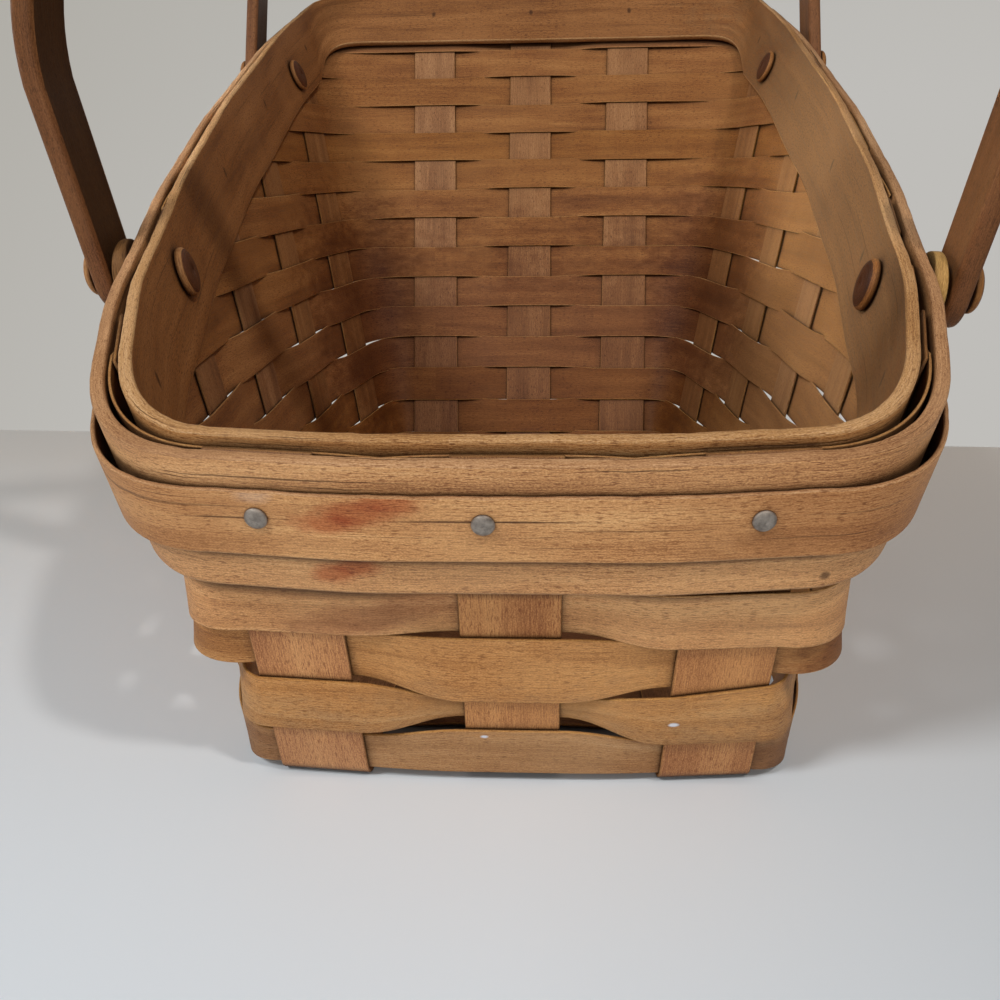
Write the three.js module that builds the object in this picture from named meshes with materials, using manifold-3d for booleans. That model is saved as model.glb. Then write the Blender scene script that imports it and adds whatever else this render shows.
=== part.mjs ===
// Splint vegetable basket: low front, high back, two swing handles.
// Millimetres. X to the right, Y from the low front to the high back, Z up.
// The origin is on the underside of the woven floor, at its middle.

import * as THREE from 'three';
import { mergeVertices } from 'three/addons/utils/BufferGeometryUtils.js';
import Module from 'manifold-3d';

// Splints and weavers
const SPLINT_WIDTH = 25.4;
const SPLINT_THICKNESS = 0.9;
const WEAVER_THICKNESS = 0.8;
const ROW_GAP = 0.5;
const ROWS = 16;
const FIT = 0.3; // gap between pieces that touch

// Floor
const FLOOR_LENGTH = 282; // between the front and back stakes
const FLOOR_HALF_WIDTH = 89; // out to the side stakes, at mid length
const FLOOR_BOW = 10; // side stakes step in this much at both ends
const FLOOR_TAPER = 1; // and the back is narrower than the front
const SIDE_SETBACK = 36; // from the sides of the floor in to the outer end stakes
const CORNER_SETBACK = 34.4; // from the ends of the floor in to the first and last side stakes
const SIDE_STAKE_COUNT = 5;
const END_STAKE_SPACING = FLOOR_HALF_WIDTH - SIDE_SETBACK;
const SIDE_STAKE_SPACING = (FLOOR_LENGTH - 2 * CORNER_SETBACK) / (SIDE_STAKE_COUNT - 1);

// Walls, as outward travel per millimetre of height
const FRONT_FLARE = 0.214;
const FRONT_BOW = 0.02; // more at the middle of the front
const BACK_FLARE = 0.624;
const SIDE_FLARE = 0.26;
const SIDE_FLARE_GAIN = 0.024; // more at the back, less at the front
const SIDE_FLARE_BOW = 0.014; // less at both ends
const FRONT_FAN = 0.027; // the outer end stakes spread apart
const BACK_FAN = 0.036;
const SIDE_FAN = 0.27; // the side stakes lean towards the back
const SIDE_FAN_GAIN = 0.33;
const FRONT_TURN = THREE.MathUtils.degToRad(5); // how far the outer front stakes face the corners
const SIDE_TURN = THREE.MathUtils.degToRad(11); // and the last side stakes
const SIDE_FACING = THREE.MathUtils.degToRad(-2); // all side stakes face a little to the front

// Rim
const FRONT_HEIGHT = 104;
const BACK_HEIGHT = 262;
const ROW_PITCH = BACK_HEIGHT / ROWS; // level rows fill the height of the back
const WEAVER_WIDTH = ROW_PITCH - ROW_GAP;
const BAND_WIDTH = 35.5;
const BAND_THICKNESS = 3.6;
const INNER_RISE = 1.6; // the inner band stands this much higher than the outer one
const BAND_CLEARANCE = 0.3; // between the bands and the weaving
const TRIM_WIDTH = 17.5;
const TRIM_DROP = 7.3; // from the rim down to the trim
const TRIM_THICKNESS = 1.3;
const TRIM_STAND_OFF = 1.8; // the trim springs clear of the band round the front corners
const STAKE_TUCK = 1; // stakes end this far below the rim
const WEAVER_TUCK = 5.5; // and weavers this far

// Tacks
const TACK_HEAD_DIAMETER = 5.4;
const TACK_HEAD_HEIGHT = 1.2;
const TACK_SHANK = 1.6; // square
const TACK_LENGTH = 3.8;
const TACK_DROP = 14.2; // below the rim
const FRONT_TACK_SHIFT = -5.2; // the tack at the middle of the front is off its stake's middle

// Handles
const HANDLE_WIDTH = 20;
const HANDLE_THICKNESS = 6.5;
const HANDLE_LEG = 58; // straight part above the rivets
const HANDLE_ARCH = 100; // rise of the arch above the legs
const FRONT_HANDLE_FLARE = 0.1; // the legs spread apart towards the arch
const BACK_HANDLE_FLARE = 0.03;
const HANDLE_TOE = 12; // below the rivets
const FRONT_RIGHT_RIVET_ROW = 7.57; // heights of the rivets, counted in rows of weaving
const FRONT_LEFT_RIVET_ROW = 7.84; // set by hand, a little out of square with the right one
const BACK_RIVET_ROW = 12.81;
const FRONT_LEAN = THREE.MathUtils.degToRad(12); // towards the front, as it stands
const BACK_LEAN = THREE.MathUtils.degToRad(-30);

// Rivets and washers
const RIVET_DIAMETER = 8;
const RIVET_HEAD_DIAMETER = 16;
const RIVET_HEAD_HEIGHT = 3.2;
const WASHER_DIAMETER = 21;
const WASHER_THICKNESS = 5; // at its centre, the inner face follows the rim
const FRONT_RIVET_DROP = 12; // below the rim
const BACK_RIVET_DROP = 18;
const RUNNING_FIT = 0.35;
const SEAT_FIT = 0.6; // flat seats on the curved rim

// Steps along curves
const GAP_STEPS = 3; // between two stakes on one wall
const CORNER_STEPS = 5;
const ARCH_STEPS = 18;
const ROUND_SIDES = 14;
const TACK_SIDES = 7;
const TOE_STEPS = 6;
const CURVE_PULL = 1.15; // tangent length of the curves between stakes, as a share of the gap

const FIRST_ROW = SPLINT_THICKNESS + 2 * FIT; // height of the lowest row, clear of the floor strips

const wasm = await Module();
wasm.setup();

// Solids

function toSolid(geometry) {
  const bare = geometry.clone();
  bare.deleteAttribute('normal');
  bare.deleteAttribute('uv');
  const merged = mergeVertices(bare, 1e-5);
  return new wasm.Manifold(new wasm.Mesh({
    numProp: 3,
    vertProperties: new Float32Array(merged.attributes.position.array),
    triVerts: new Uint32Array(merged.index.array),
  }));
}

function toGeometry(solid) {
  const mesh = solid.getMesh();
  const geometry = new THREE.BufferGeometry();
  geometry.setAttribute('position', new THREE.BufferAttribute(mesh.vertProperties, 3));
  geometry.setIndex(new THREE.BufferAttribute(mesh.triVerts, 1));
  geometry.computeVertexNormals();
  return geometry;
}

// Skins a row of four-cornered sections. A closed loft joins its last section to its first.
function loft(sections, closed) {
  const sides = sections[0].length;
  const points = sections.flat();
  const faces = [];
  const spans = closed ? sections.length : sections.length - 1;
  for (let i = 0; i < spans; i += 1) {
    const near = i * sides;
    const far = ((i + 1) % sections.length) * sides;
    for (let j = 0; j < sides; j += 1) {
      const next = (j + 1) % sides;
      faces.push(near + j, near + next, far + next, near + j, far + next, far + j);
    }
  }
  if (!closed) {
    const last = (sections.length - 1) * sides;
    for (let j = 1; j < sides - 1; j += 1) {
      faces.push(0, j + 1, j, last, last + j, last + j + 1);
    }
  }
  if (signedVolume(points, faces) < 0) faces.reverse();
  const geometry = new THREE.BufferGeometry().setFromPoints(points);
  geometry.setIndex(faces);
  return toSolid(geometry);
}

function signedVolume(points, faces) {
  let volume = 0;
  for (let i = 0; i < faces.length; i += 3) {
    const [a, b, c] = [points[faces[i]], points[faces[i + 1]], points[faces[i + 2]]];
    volume += a.dot(new THREE.Vector3().crossVectors(b, c));
  }
  return volume;
}

// Turns a (radius, height) profile about a line through a point.
function turned(profile, point, direction, sides = ROUND_SIDES) {
  const outline = profile.map(([r, h]) => new THREE.Vector2(r, h));
  const geometry = new THREE.LatheGeometry(outline, sides);
  geometry.applyQuaternion(new THREE.Quaternion().setFromUnitVectors(new THREE.Vector3(0, 1, 0), direction));
  geometry.translate(point.x, point.y, point.z);
  const solid = toSolid(geometry);
  if (solid.volume() > 0) return solid;
  geometry.index.array.reverse();
  return toSolid(geometry);
}

function rod(radius, from, to) {
  const axis = new THREE.Vector3().subVectors(to, from);
  const length = axis.length();
  return turned([[0, 0], [radius, 0], [radius, length], [0, length]], from, axis.normalize());
}

// Keeps what lies on the side of a plane that its normal points away from.
function keepBelow(solid, normal, point) {
  const inward = normal.clone().negate();
  return solid.trimByPlane(inward.toArray(), inward.dot(point));
}

// Stakes: where each one leaves the floor, how it leans and which way it faces

class Stake {
  constructor(x, y, leanX, leanY, tangentAngle) {
    this.foot = new THREE.Vector2(x, y);
    this.lean = new THREE.Vector2(leanX, leanY);
    this.tangent = new THREE.Vector2(Math.cos(tangentAngle), Math.sin(tangentAngle));
    this.outward = new THREE.Vector2(this.tangent.y, -this.tangent.x);
    this.halfWidth = (SPLINT_WIDTH / 2) * Math.hypot(1, this.lean.dot(this.tangent));
    this.slant = Math.hypot(1, this.lean.dot(this.outward)); // level thickness over true thickness
  }

  at(z) {
    return this.foot.clone().addScaledVector(this.lean, z);
  }

  // A point level with height z, so far along the stake's width and out from its middle
  level(z, along, out) {
    const p = this.at(z).addScaledVector(this.tangent, along).addScaledVector(this.outward, out);
    return new THREE.Vector3(p.x, p.y, z);
  }

  get weave() {
    return ((SPLINT_THICKNESS + WEAVER_THICKNESS) / 2) * this.slant + FIT;
  }
}

function sideStake(index, side) {
  const middle = (SIDE_STAKE_COUNT - 1) / 2;
  const u = (index - middle) / middle;
  const x = FLOOR_HALF_WIDTH - FLOOR_BOW * u * u - FLOOR_TAPER * u;
  const y = (index - middle) * SIDE_STAKE_SPACING;
  const flare = SIDE_FLARE + SIDE_FLARE_GAIN * u - SIDE_FLARE_BOW * u * u;
  const fan = SIDE_FAN + SIDE_FAN_GAIN * u;
  const turn = SIDE_FACING + SIDE_TURN * (2 * u + u ** 3) / 3;
  return new Stake(side * x, y, side * flare, fan, side * (Math.PI / 2 + turn));
}

function endStake(column, back) {
  const x = column * END_STAKE_SPACING;
  const fan = column * (back ? BACK_FAN : FRONT_FAN);
  if (back) return new Stake(x, FLOOR_LENGTH / 2, fan, BACK_FLARE, Math.PI);
  const flare = FRONT_FLARE + FRONT_BOW * (1 - Math.abs(column));
  return new Stake(x, -FLOOR_LENGTH / 2, fan, -flare, column * FRONT_TURN);
}

const COLUMNS = ['left', 'centre', 'right'];
const CROSSINGS = [...Array(SIDE_STAKE_COUNT).keys()];
const front = COLUMNS.map((_, i) => endStake(i - 1, false));
const back = COLUMNS.map((_, i) => endStake(i - 1, true));
const right = CROSSINGS.map((index) => sideStake(index, 1));
const left = CROSSINGS.map((index) => sideStake(index, -1));

// All stakes in order round the basket, seen from above, from the middle of the front
const ring = [front[1], front[2], ...right, back[2], back[1], back[0], ...left.toReversed(), front[0]];

// The path of a strip round the wall at one height. Each stake has a flat place with its own offset,
// and the strip curves from one to the next.
function wallPath(z, offsetAt) {
  const path = [];
  ring.forEach((stake, i) => {
    const next = ring[(i + 1) % ring.length];
    const corner = Math.abs(stake.tangent.dot(next.tangent)) < Math.SQRT1_2;
    const steps = corner ? CORNER_STEPS : GAP_STEPS;
    const start = flat(stake.level(z, stake.halfWidth, offsetAt(i) * stake.weave));
    const end = flat(next.level(z, -next.halfWidth, offsetAt(i + 1) * next.weave));
    const pull = start.distanceTo(end) * CURVE_PULL;
    const place = flat(stake.level(z, -stake.halfWidth, offsetAt(i) * stake.weave));
    path.push({ place, normal: stake.outward, slant: stake.slant, bulge: 0 });
    for (let step = 0; step < steps; step += 1) {
      const t = step / steps;
      path.push(curvePoint(start, end, stake, next, pull, t, corner));
    }
  });
  return path;
}

function flat(point) {
  return new THREE.Vector2(point.x, point.y);
}

// One point of a cubic between two stakes, with the outward direction there
function curvePoint(start, end, stake, next, pull, t, corner) {
  const place = new THREE.Vector2();
  place.addScaledVector(start, 2 * t ** 3 - 3 * t ** 2 + 1).addScaledVector(end, 3 * t ** 2 - 2 * t ** 3);
  place.addScaledVector(stake.tangent, pull * (t ** 3 - 2 * t ** 2 + t));
  place.addScaledVector(next.tangent, pull * (t ** 3 - t ** 2));
  const along = new THREE.Vector2();
  along.addScaledVector(end.clone().sub(start), 6 * t - 6 * t ** 2);
  along.addScaledVector(stake.tangent, pull * (3 * t ** 2 - 4 * t + 1));
  along.addScaledVector(next.tangent, pull * (3 * t ** 2 - 2 * t));
  along.normalize();
  const bulge = corner && place.y < 0 ? Math.sin(Math.PI * t) : 0;
  const slant = THREE.MathUtils.lerp(stake.slant, next.slant, t);
  return { place, normal: new THREE.Vector2(along.y, -along.x), slant, bulge };
}

// The slanting rim plane, through the tops of the front and back walls

const frontTopY = -FLOOR_LENGTH / 2 - FRONT_FLARE * FRONT_HEIGHT;
const backTopY = FLOOR_LENGTH / 2 + BACK_FLARE * BACK_HEIGHT;
const RIM_SLOPE = (BACK_HEIGHT - FRONT_HEIGHT) / (backTopY - frontTopY);
const RIM_AT_ORIGIN = FRONT_HEIGHT - RIM_SLOPE * frontTopY;
const rimNormal = new THREE.Vector3(0, -RIM_SLOPE, 1).normalize();

function belowRim(solid, depth) {
  return keepBelow(solid, rimNormal, new THREE.Vector3(0, 0, RIM_AT_ORIGIN - depth));
}

// Points where the middle of the wall meets the rim plane, with the direction out of the wall and the step
// down the stakes that takes a strip one millimetre across its width
function rimFrames() {
  const level = () => 0;
  const top = wallPath(BACK_HEIGHT, level);
  return wallPath(0, level).map((foot, i) => {
    const lean = new THREE.Vector3((top[i].place.x - foot.place.x) / BACK_HEIGHT,
      (top[i].place.y - foot.place.y) / BACK_HEIGHT, 1);
    const z = (RIM_AT_ORIGIN + RIM_SLOPE * foot.place.y) / (1 - RIM_SLOPE * lean.y);
    const place = new THREE.Vector3(foot.place.x, foot.place.y, 0).addScaledVector(lean, z);
    const facing = foot.normal.clone().lerp(top[i].normal, z / BACK_HEIGHT);
    const out = new THREE.Vector3(-facing.y, facing.x, 0).cross(lean).normalize();
    const along = new THREE.Vector3().crossVectors(rimNormal, out).normalize();
    const down = lean.clone().normalize().negate();
    down.divideScalar(Math.sqrt(1 - down.dot(along) ** 2));
    return { place, lean, out, down, bulge: foot.bulge };
  });
}

const rim = rimFrames();
const steepest = Math.max(...ring.map((stake) => stake.weave + (WEAVER_THICKNESS / 2) * stake.slant));
const BAND_FACE = steepest + BAND_CLEARANCE; // from the middle of the wall to a band's near face
const OUTER_FACE = BAND_FACE + BAND_THICKNESS;
const TRIM_FACE = OUTER_FACE + FIT + TRIM_THICKNESS;

function band(inner, outer, drop, width, standOff = 0) {
  const sections = rim.map(({ place, out, down, bulge }) => {
    const corner = (depth, offset) => (
      place.clone().addScaledVector(down, depth).addScaledVector(out, offset + standOff * bulge));
    const bottom = drop + width;
    return [corner(drop, inner), corner(bottom, inner), corner(bottom, outer), corner(drop, outer)];
  });
  return loft(sections, true);
}

// The place for a rivet on the right side, where the rim band passes a row of weaving
function rivetPlace(row, drop) {
  const z = FIRST_ROW + row * ROW_PITCH;
  const middle = ({ place, down }) => place.clone().addScaledVector(down, drop);
  for (let i = 0; i < rim.length - 1; i += 1) {
    const from = middle(rim[i]);
    const to = middle(rim[i + 1]);
    if (from.x > 0 && from.z <= z && to.z > z) {
      const t = (z - from.z) / (to.z - from.z);
      return { point: from.lerp(to, t), out: rim[i].out.clone().lerp(rim[i + 1].out, t).normalize() };
    }
  }
  throw new Error('no rim there');
}

// Splints of the floor and walls

const LOW = 0;
const HIGH = SPLINT_THICKNESS + FIT;
const RAMP_START = SPLINT_WIDTH / 2 + 2 * FIT;

// Heights along a floor strip that goes over and under the strips it crosses
function floorHeights(crossingPlaces, overFirst) {
  const heights = [];
  crossingPlaces.forEach((place, i) => {
    const z = (i % 2 === 0) === overFirst ? HIGH : LOW;
    heights.push([place - RAMP_START, z], [place + RAMP_START, z]);
  });
  return heights;
}

// One strip: down the first stake, across the floor and up the second
function splint(first, second, stations, top) {
  const wall = (stake, z, flip) => {
    const half = flip * stake.halfWidth;
    const out = (SPLINT_THICKNESS / 2) * stake.slant;
    return [[-half, out], [half, out], [half, -out], [-half, -out]].map(([a, b]) => stake.level(z, a, b));
  };
  const bend = (stake, flip) => {
    const [a, b] = wall(stake, 0, flip);
    const [, , c, d] = wall(stake, SPLINT_THICKNESS, flip);
    return [a, b, c, d];
  };
  const sections = [wall(first, top, 1), bend(first, 1)];
  stations.forEach(({ near, far, z }) => {
    const up = z + SPLINT_THICKNESS;
    sections.push([near.clone().setZ(z), far.clone().setZ(z), far.clone().setZ(up), near.clone().setZ(up)]);
  });
  sections.push(bend(second, -1), wall(second, top, -1));
  return belowRim(loft(sections, false), STAKE_TUCK);
}

function longSplint(column) {
  const half = SPLINT_WIDTH / 2;
  const { x } = front[column].foot;
  const places = right.map((stake) => stake.foot.y);
  const stations = floorHeights(places, column % 2 === 0).map(([y, z]) => ({
    near: new THREE.Vector3(x - half, y, 0), far: new THREE.Vector3(x + half, y, 0), z,
  }));
  return splint(front[column], back[column], stations, BACK_HEIGHT + BAND_WIDTH);
}

function crossSplint(index) {
  const half = SPLINT_WIDTH / 2;
  const y = right[index].foot.y;
  const places = front.map((stake) => stake.foot.x);
  const stations = floorHeights(places, index % 2 === 1).map(([x, z]) => ({
    near: new THREE.Vector3(x, y + half, 0), far: new THREE.Vector3(x, y - half, 0), z,
  }));
  return splint(left[index], right[index], stations, BACK_HEIGHT + BAND_WIDTH);
}

// Weaver rows

function weaverRow(row) {
  const outside = (i) => ((i + row) % 2 === 0 ? 1 : -1);
  const bottom = FIRST_ROW + row * ROW_PITCH;
  const edge = (z) => wallPath(z, outside).map(({ place, normal, slant }) => {
    const half = (WEAVER_THICKNESS / 2) * slant;
    const corner = (offset) => {
      const p = place.clone().addScaledVector(normal, offset);
      return new THREE.Vector3(p.x, p.y, z);
    };
    return [corner(half), corner(-half)];
  });
  const low = edge(bottom);
  const high = edge(bottom + WEAVER_WIDTH);
  const sections = low.map(([outer, inner], i) => [outer, high[i][0], high[i][1], inner]);
  return belowRim(loft(sections, true), WEAVER_TUCK);
}

// Handles, rivets and washers. A pivot line joins two places on the rim band, one on each side, and
// lengths along it are measured outwards from its middle.

const ACROSS = new THREE.Vector3(1, 0, 0);

function pivotLine(rightRow, leftRow, drop, flare) {
  const ends = [rivetPlace(rightRow, drop), mirrored(rivetPlace(leftRow, drop))];
  const [rightEnd, leftEnd] = ends.map(({ point }) => point);
  const middle = rightEnd.clone().lerp(leftEnd, 0.5);
  const axis = rightEnd.clone().sub(leftEnd).normalize();
  const sides = ends.map(({ point, out }, i) => {
    const outward = i === 0 ? axis : axis.clone().negate();
    const meets = (offset) => middle.distanceTo(point) + offset / out.dot(outward); // a face of the rim
    return {
      name: ['right', 'left'][i], point, out, outward,
      innerSeat: meets(-OUTER_FACE - SEAT_FIT), outerSeat: meets(TRIM_FACE + SEAT_FIT),
      at: (length) => middle.clone().addScaledVector(outward, length),
    };
  });
  const swingGap = (diameter) => FIT + flare * diameter / 2;
  const washerFace = Math.max(...sides.map(({ outerSeat }) => outerSeat)) + WASHER_THICKNESS;
  const legFace = washerFace + swingGap(WASHER_DIAMETER);
  const headFace = legFace + HANDLE_THICKNESS + swingGap(RIVET_HEAD_DIAMETER);
  return { middle, axis, flare, sides, washerFace, legFace, headFace };
}

function mirrored({ point, out }) {
  const flip = new THREE.Vector3(-1, 1, 1);
  return { point: point.clone().multiply(flip), out: out.clone().multiply(flip) };
}

const frontPivot = pivotLine(
  FRONT_RIGHT_RIVET_ROW, FRONT_LEFT_RIVET_ROW, FRONT_RIVET_DROP, FRONT_HANDLE_FLARE);
const backPivot = pivotLine(BACK_RIVET_ROW, BACK_RIVET_ROW, BACK_RIVET_DROP, BACK_HANDLE_FLARE);
const pivots = [frontPivot, backPivot];

// Half of the inner outline of a handle, from its toe to its crown, as (x, z) about its pivot
function handleOutline({ legFace, flare }) {
  const shoulder = legFace + flare * HANDLE_LEG;
  const outline = [new THREE.Vector2(legFace - flare * HANDLE_TOE, -HANDLE_TOE)];
  for (let step = 0; step <= ARCH_STEPS; step += 1) {
    const angle = (step / ARCH_STEPS) * Math.PI;
    const x = shoulder * Math.cos(angle);
    outline.push(new THREE.Vector2(x, HANDLE_LEG + HANDLE_ARCH * Math.sin(angle)));
  }
  outline.push(new THREE.Vector2(-outline[0].x, -HANDLE_TOE));
  return outline;
}

function handle(pivot) {
  const inner = handleOutline(pivot);
  const outer = inner.map((p, i) => {
    const before = inner[Math.max(i - 1, 0)];
    const after = inner[Math.min(i + 1, inner.length - 1)];
    const along = after.clone().sub(before).normalize();
    return new THREE.Vector2(p.x + along.y * HANDLE_THICKNESS, p.y - along.x * HANDLE_THICKNESS);
  });
  const shape = new THREE.Shape([...outer, ...inner.toReversed()]);
  const strip = new THREE.ExtrudeGeometry(shape, { depth: HANDLE_WIDTH, bevelEnabled: false });
  strip.translate(0, 0, -HANDLE_WIDTH / 2).rotateX(Math.PI / 2);
  const reach = pivot.headFace + HANDLE_ARCH;
  const across = new THREE.Vector3(reach, 0, 0);
  const hole = rod(RIVET_DIAMETER / 2 + RUNNING_FIT, across.clone().negate(), across);
  return toSolid(strip).intersect(toeProfile(reach)).subtract(hole);
}

// The handle seen from its side: parallel edges with round toes
function toeProfile(reach) {
  const half = HANDLE_WIDTH / 2;
  const centre = half - HANDLE_TOE;
  const profile = new THREE.Shape();
  profile.moveTo(-half, reach * 2);
  profile.lineTo(-half, centre);
  profile.absarc(0, centre, half, Math.PI, 2 * Math.PI, false);
  profile.lineTo(half, reach * 2);
  const settings = { depth: reach * 2, bevelEnabled: false, curveSegments: TOE_STEPS };
  const block = new THREE.ExtrudeGeometry(profile, settings);
  block.translate(0, 0, -reach).applyMatrix4(new THREE.Matrix4().makeBasis(
    new THREE.Vector3(0, 1, 0), new THREE.Vector3(0, 0, 1), new THREE.Vector3(1, 0, 0)));
  return toSolid(block);
}

// A rivet whose inner head lies square on the sloping inner band
function rivet({ headFace }, { out, outward, innerSeat, at }) {
  const head = RIVET_HEAD_DIAMETER / 2;
  const domed = [[0, 0], [head, 0], [head, RIVET_HEAD_HEIGHT / 2], [head * 0.7, RIVET_HEAD_HEIGHT],
    [0, RIVET_HEAD_HEIGHT]];
  const sunk = RIVET_HEAD_HEIGHT / 2;
  const stem = rod(RIVET_DIAMETER / 2, at(innerSeat - sunk), at(headFace + sunk));
  const innerHead = turned(domed, at(innerSeat), out.clone().negate());
  return stem.add(innerHead).add(turned(domed, at(headFace), outward));
}

// A spacer whose inner face is cut to lie on the sloping trim strip
function washer({ washerFace }, { point, out, outward, at }) {
  const radius = WASHER_DIAMETER / 2;
  const hole = RIVET_DIAMETER / 2 + RUNNING_FIT;
  const length = WASHER_THICKNESS + radius;
  const ring = [[hole, 0], [radius, 0], [radius, length], [hole, length], [hole, 0]];
  const blank = turned(ring, at(washerFace - length), outward);
  return keepBelow(blank, out.clone().negate(), point.clone().addScaledVector(out, TRIM_FACE + SEAT_FIT));
}

// The holes that the rivets need through rim and wall
function rivetHoles() {
  const radius = RIVET_DIAMETER / 2 + RUNNING_FIT;
  const holes = pivots.flatMap(({ sides, headFace }) => sides.map(({ at, innerSeat }) => (
    rod(radius, at(innerSeat - OUTER_FACE), at(headFace)))));
  return holes.reduce((all, hole) => all.add(hole));
}

// Tacks through the trim and the outer band, at the middle of each stake that has no rivet beside it

function tackPlaces() {
  const rivets = pivots.flatMap(({ sides }) => sides.map(({ point }) => point));
  const reach = (WASHER_DIAMETER + TACK_HEAD_DIAMETER) / 2 + FIT;
  const clear = ({ point }) => rivets.every((rivetPoint) => rivetPoint.distanceTo(point) > reach);
  return ring.map(stakeOnRim).filter(clear);
}

// The middle of the rim band where a stake passes behind it
function stakeOnRim(stake) {
  const [first, second] = [-1, 1].map((edge) => rim.find(({ place, lean }) => {
    const foot = place.clone().addScaledVector(lean, -place.z);
    return foot.distanceTo(stake.level(0, edge * stake.halfWidth, 0)) < FIT;
  }));
  const shift = stake === front[1] ? FRONT_TACK_SHIFT : 0;
  const share = 0.5 + shift / SPLINT_WIDTH;
  const point = first.place.clone().lerp(second.place, share).addScaledVector(first.down, TACK_DROP);
  return { point, out: first.out };
}

function tack({ point, out }) {
  const r = TACK_HEAD_DIAMETER / 2;
  const face = point.clone().addScaledVector(out, TRIM_FACE + FIT);
  const domed = [[0, 0], [r, 0], [r * 0.7, TACK_HEAD_HEIGHT * 0.8], [0, TACK_HEAD_HEIGHT]];
  return turned(domed, face, out, TACK_SIDES).add(tackShank({ point, out }, TACK_SHANK));
}

function tackShank({ point, out }, size) {
  const shank = new THREE.BoxGeometry(size, size, TACK_LENGTH + FIT);
  shank.applyQuaternion(new THREE.Quaternion().setFromUnitVectors(new THREE.Vector3(0, 0, 1), out));
  const middle = point.clone().addScaledVector(out, TRIM_FACE + FIT * 1.5 - TACK_LENGTH / 2);
  shank.translate(middle.x, middle.y, middle.z);
  return toSolid(shank);
}

// Finishes

function finish(color, roughness, metalness = 0) {
  return new THREE.MeshStandardMaterial({ color, roughness, metalness });
}

const stakeWood = finish('#8f5a2f', 0.55);
const weaverWood = finish('#9c6534', 0.5);
const bandWood = finish('#a06a38', 0.45);
const trimWood = finish('#a56d3a', 0.45);
const handleWood = finish('#94602f', 0.4);
const rivetWood = finish('#6b3a20', 0.5);
const washerWood = finish('#c49a62', 0.6);
const steel = finish('#8b8a86', 0.35, 0.9);

// Assembly

const basket = new THREE.Group();

function place(parent, name, solid, material) {
  const mesh = new THREE.Mesh(toGeometry(solid), material);
  mesh.name = name;
  parent.add(mesh);
  return mesh;
}

const holes = rivetHoles();
const tacks = tackPlaces();
const tackHoles = tacks.map((at) => tackShank(at, TACK_SHANK + 2 * FIT)).reduce((all, hole) => all.add(hole));

COLUMNS.forEach((side, column) => {
  place(basket, `long_splint_${side}`, longSplint(column), stakeWood);
});
CROSSINGS.forEach((index) => {
  place(basket, `cross_splint_${index + 1}`, crossSplint(index).subtract(holes), stakeWood);
});
for (let row = 0; row < ROWS; row += 1) {
  const number = String(row + 1).padStart(2, '0');
  place(basket, `weaver_row_${number}`, weaverRow(row).subtract(holes), weaverWood);
}
const innerBand = band(-OUTER_FACE, -BAND_FACE, -INNER_RISE, BAND_WIDTH);
place(basket, 'inner_rim_band', innerBand.subtract(holes), bandWood);
const outerBand = band(BAND_FACE, OUTER_FACE, 0, BAND_WIDTH);
place(basket, 'outer_rim_band', outerBand.subtract(holes).subtract(tackHoles), bandWood);
const trim = band(OUTER_FACE + FIT, TRIM_FACE, TRIM_DROP, TRIM_WIDTH, TRIM_STAND_OFF);
place(basket, 'rim_trim_strip', trim.subtract(holes).subtract(tackHoles), trimWood);
tacks.forEach((at, i) => {
  place(basket, `rim_tack_${String(i + 1).padStart(2, '0')}`, tack(at), steel);
});

[['front', frontPivot, FRONT_LEAN], ['back', backPivot, BACK_LEAN]].forEach(([end, pivot, lean]) => {
  const swing = new THREE.Group();
  swing.position.copy(pivot.middle);
  swing.quaternion.setFromUnitVectors(ACROSS, pivot.axis);
  swing.rotateX(lean);
  place(swing, `${end}_handle`, handle(pivot), handleWood);
  basket.add(swing);
  pivot.sides.forEach((side) => {
    place(basket, `rivet_${end}_${side.name}`, rivet(pivot, side), rivetWood);
    place(basket, `washer_${end}_${side.name}`, washer(pivot, side), washerWood);
  });
});

export default basket;
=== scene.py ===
import math
import random

import bpy
import numpy as np
from mathutils import Matrix, Vector


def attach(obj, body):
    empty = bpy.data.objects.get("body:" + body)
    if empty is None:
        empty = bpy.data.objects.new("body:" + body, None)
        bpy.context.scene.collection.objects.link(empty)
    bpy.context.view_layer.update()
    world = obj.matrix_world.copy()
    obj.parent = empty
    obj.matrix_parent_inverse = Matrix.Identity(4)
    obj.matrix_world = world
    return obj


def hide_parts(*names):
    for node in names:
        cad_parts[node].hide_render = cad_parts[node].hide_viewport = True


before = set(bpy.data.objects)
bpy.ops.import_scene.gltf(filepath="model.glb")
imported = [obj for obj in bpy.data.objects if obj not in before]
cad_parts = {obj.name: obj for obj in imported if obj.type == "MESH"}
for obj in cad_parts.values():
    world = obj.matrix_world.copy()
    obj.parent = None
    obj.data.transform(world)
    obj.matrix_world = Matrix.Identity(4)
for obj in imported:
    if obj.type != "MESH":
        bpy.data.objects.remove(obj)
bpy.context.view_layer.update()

# Lengths are in millimetres until a mesh is made.
MM = 0.001

# Splints and weavers
SPLINT_WIDTH = 25.4
SPLINT_THICKNESS = 0.9
WEAVER_THICKNESS = 0.8
ROW_GAP = 0.5
ROWS = 16
FIT = 0.3

# Floor
FLOOR_LENGTH = 282
FLOOR_HALF_WIDTH = 89
FLOOR_BOW = 10
FLOOR_TAPER = 1
SIDE_SETBACK = 36
CORNER_SETBACK = 34.4
SIDE_STAKE_COUNT = 5
END_STAKE_SPACING = FLOOR_HALF_WIDTH - SIDE_SETBACK
SIDE_STAKE_SPACING = (FLOOR_LENGTH - 2 * CORNER_SETBACK) / (SIDE_STAKE_COUNT - 1)

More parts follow.
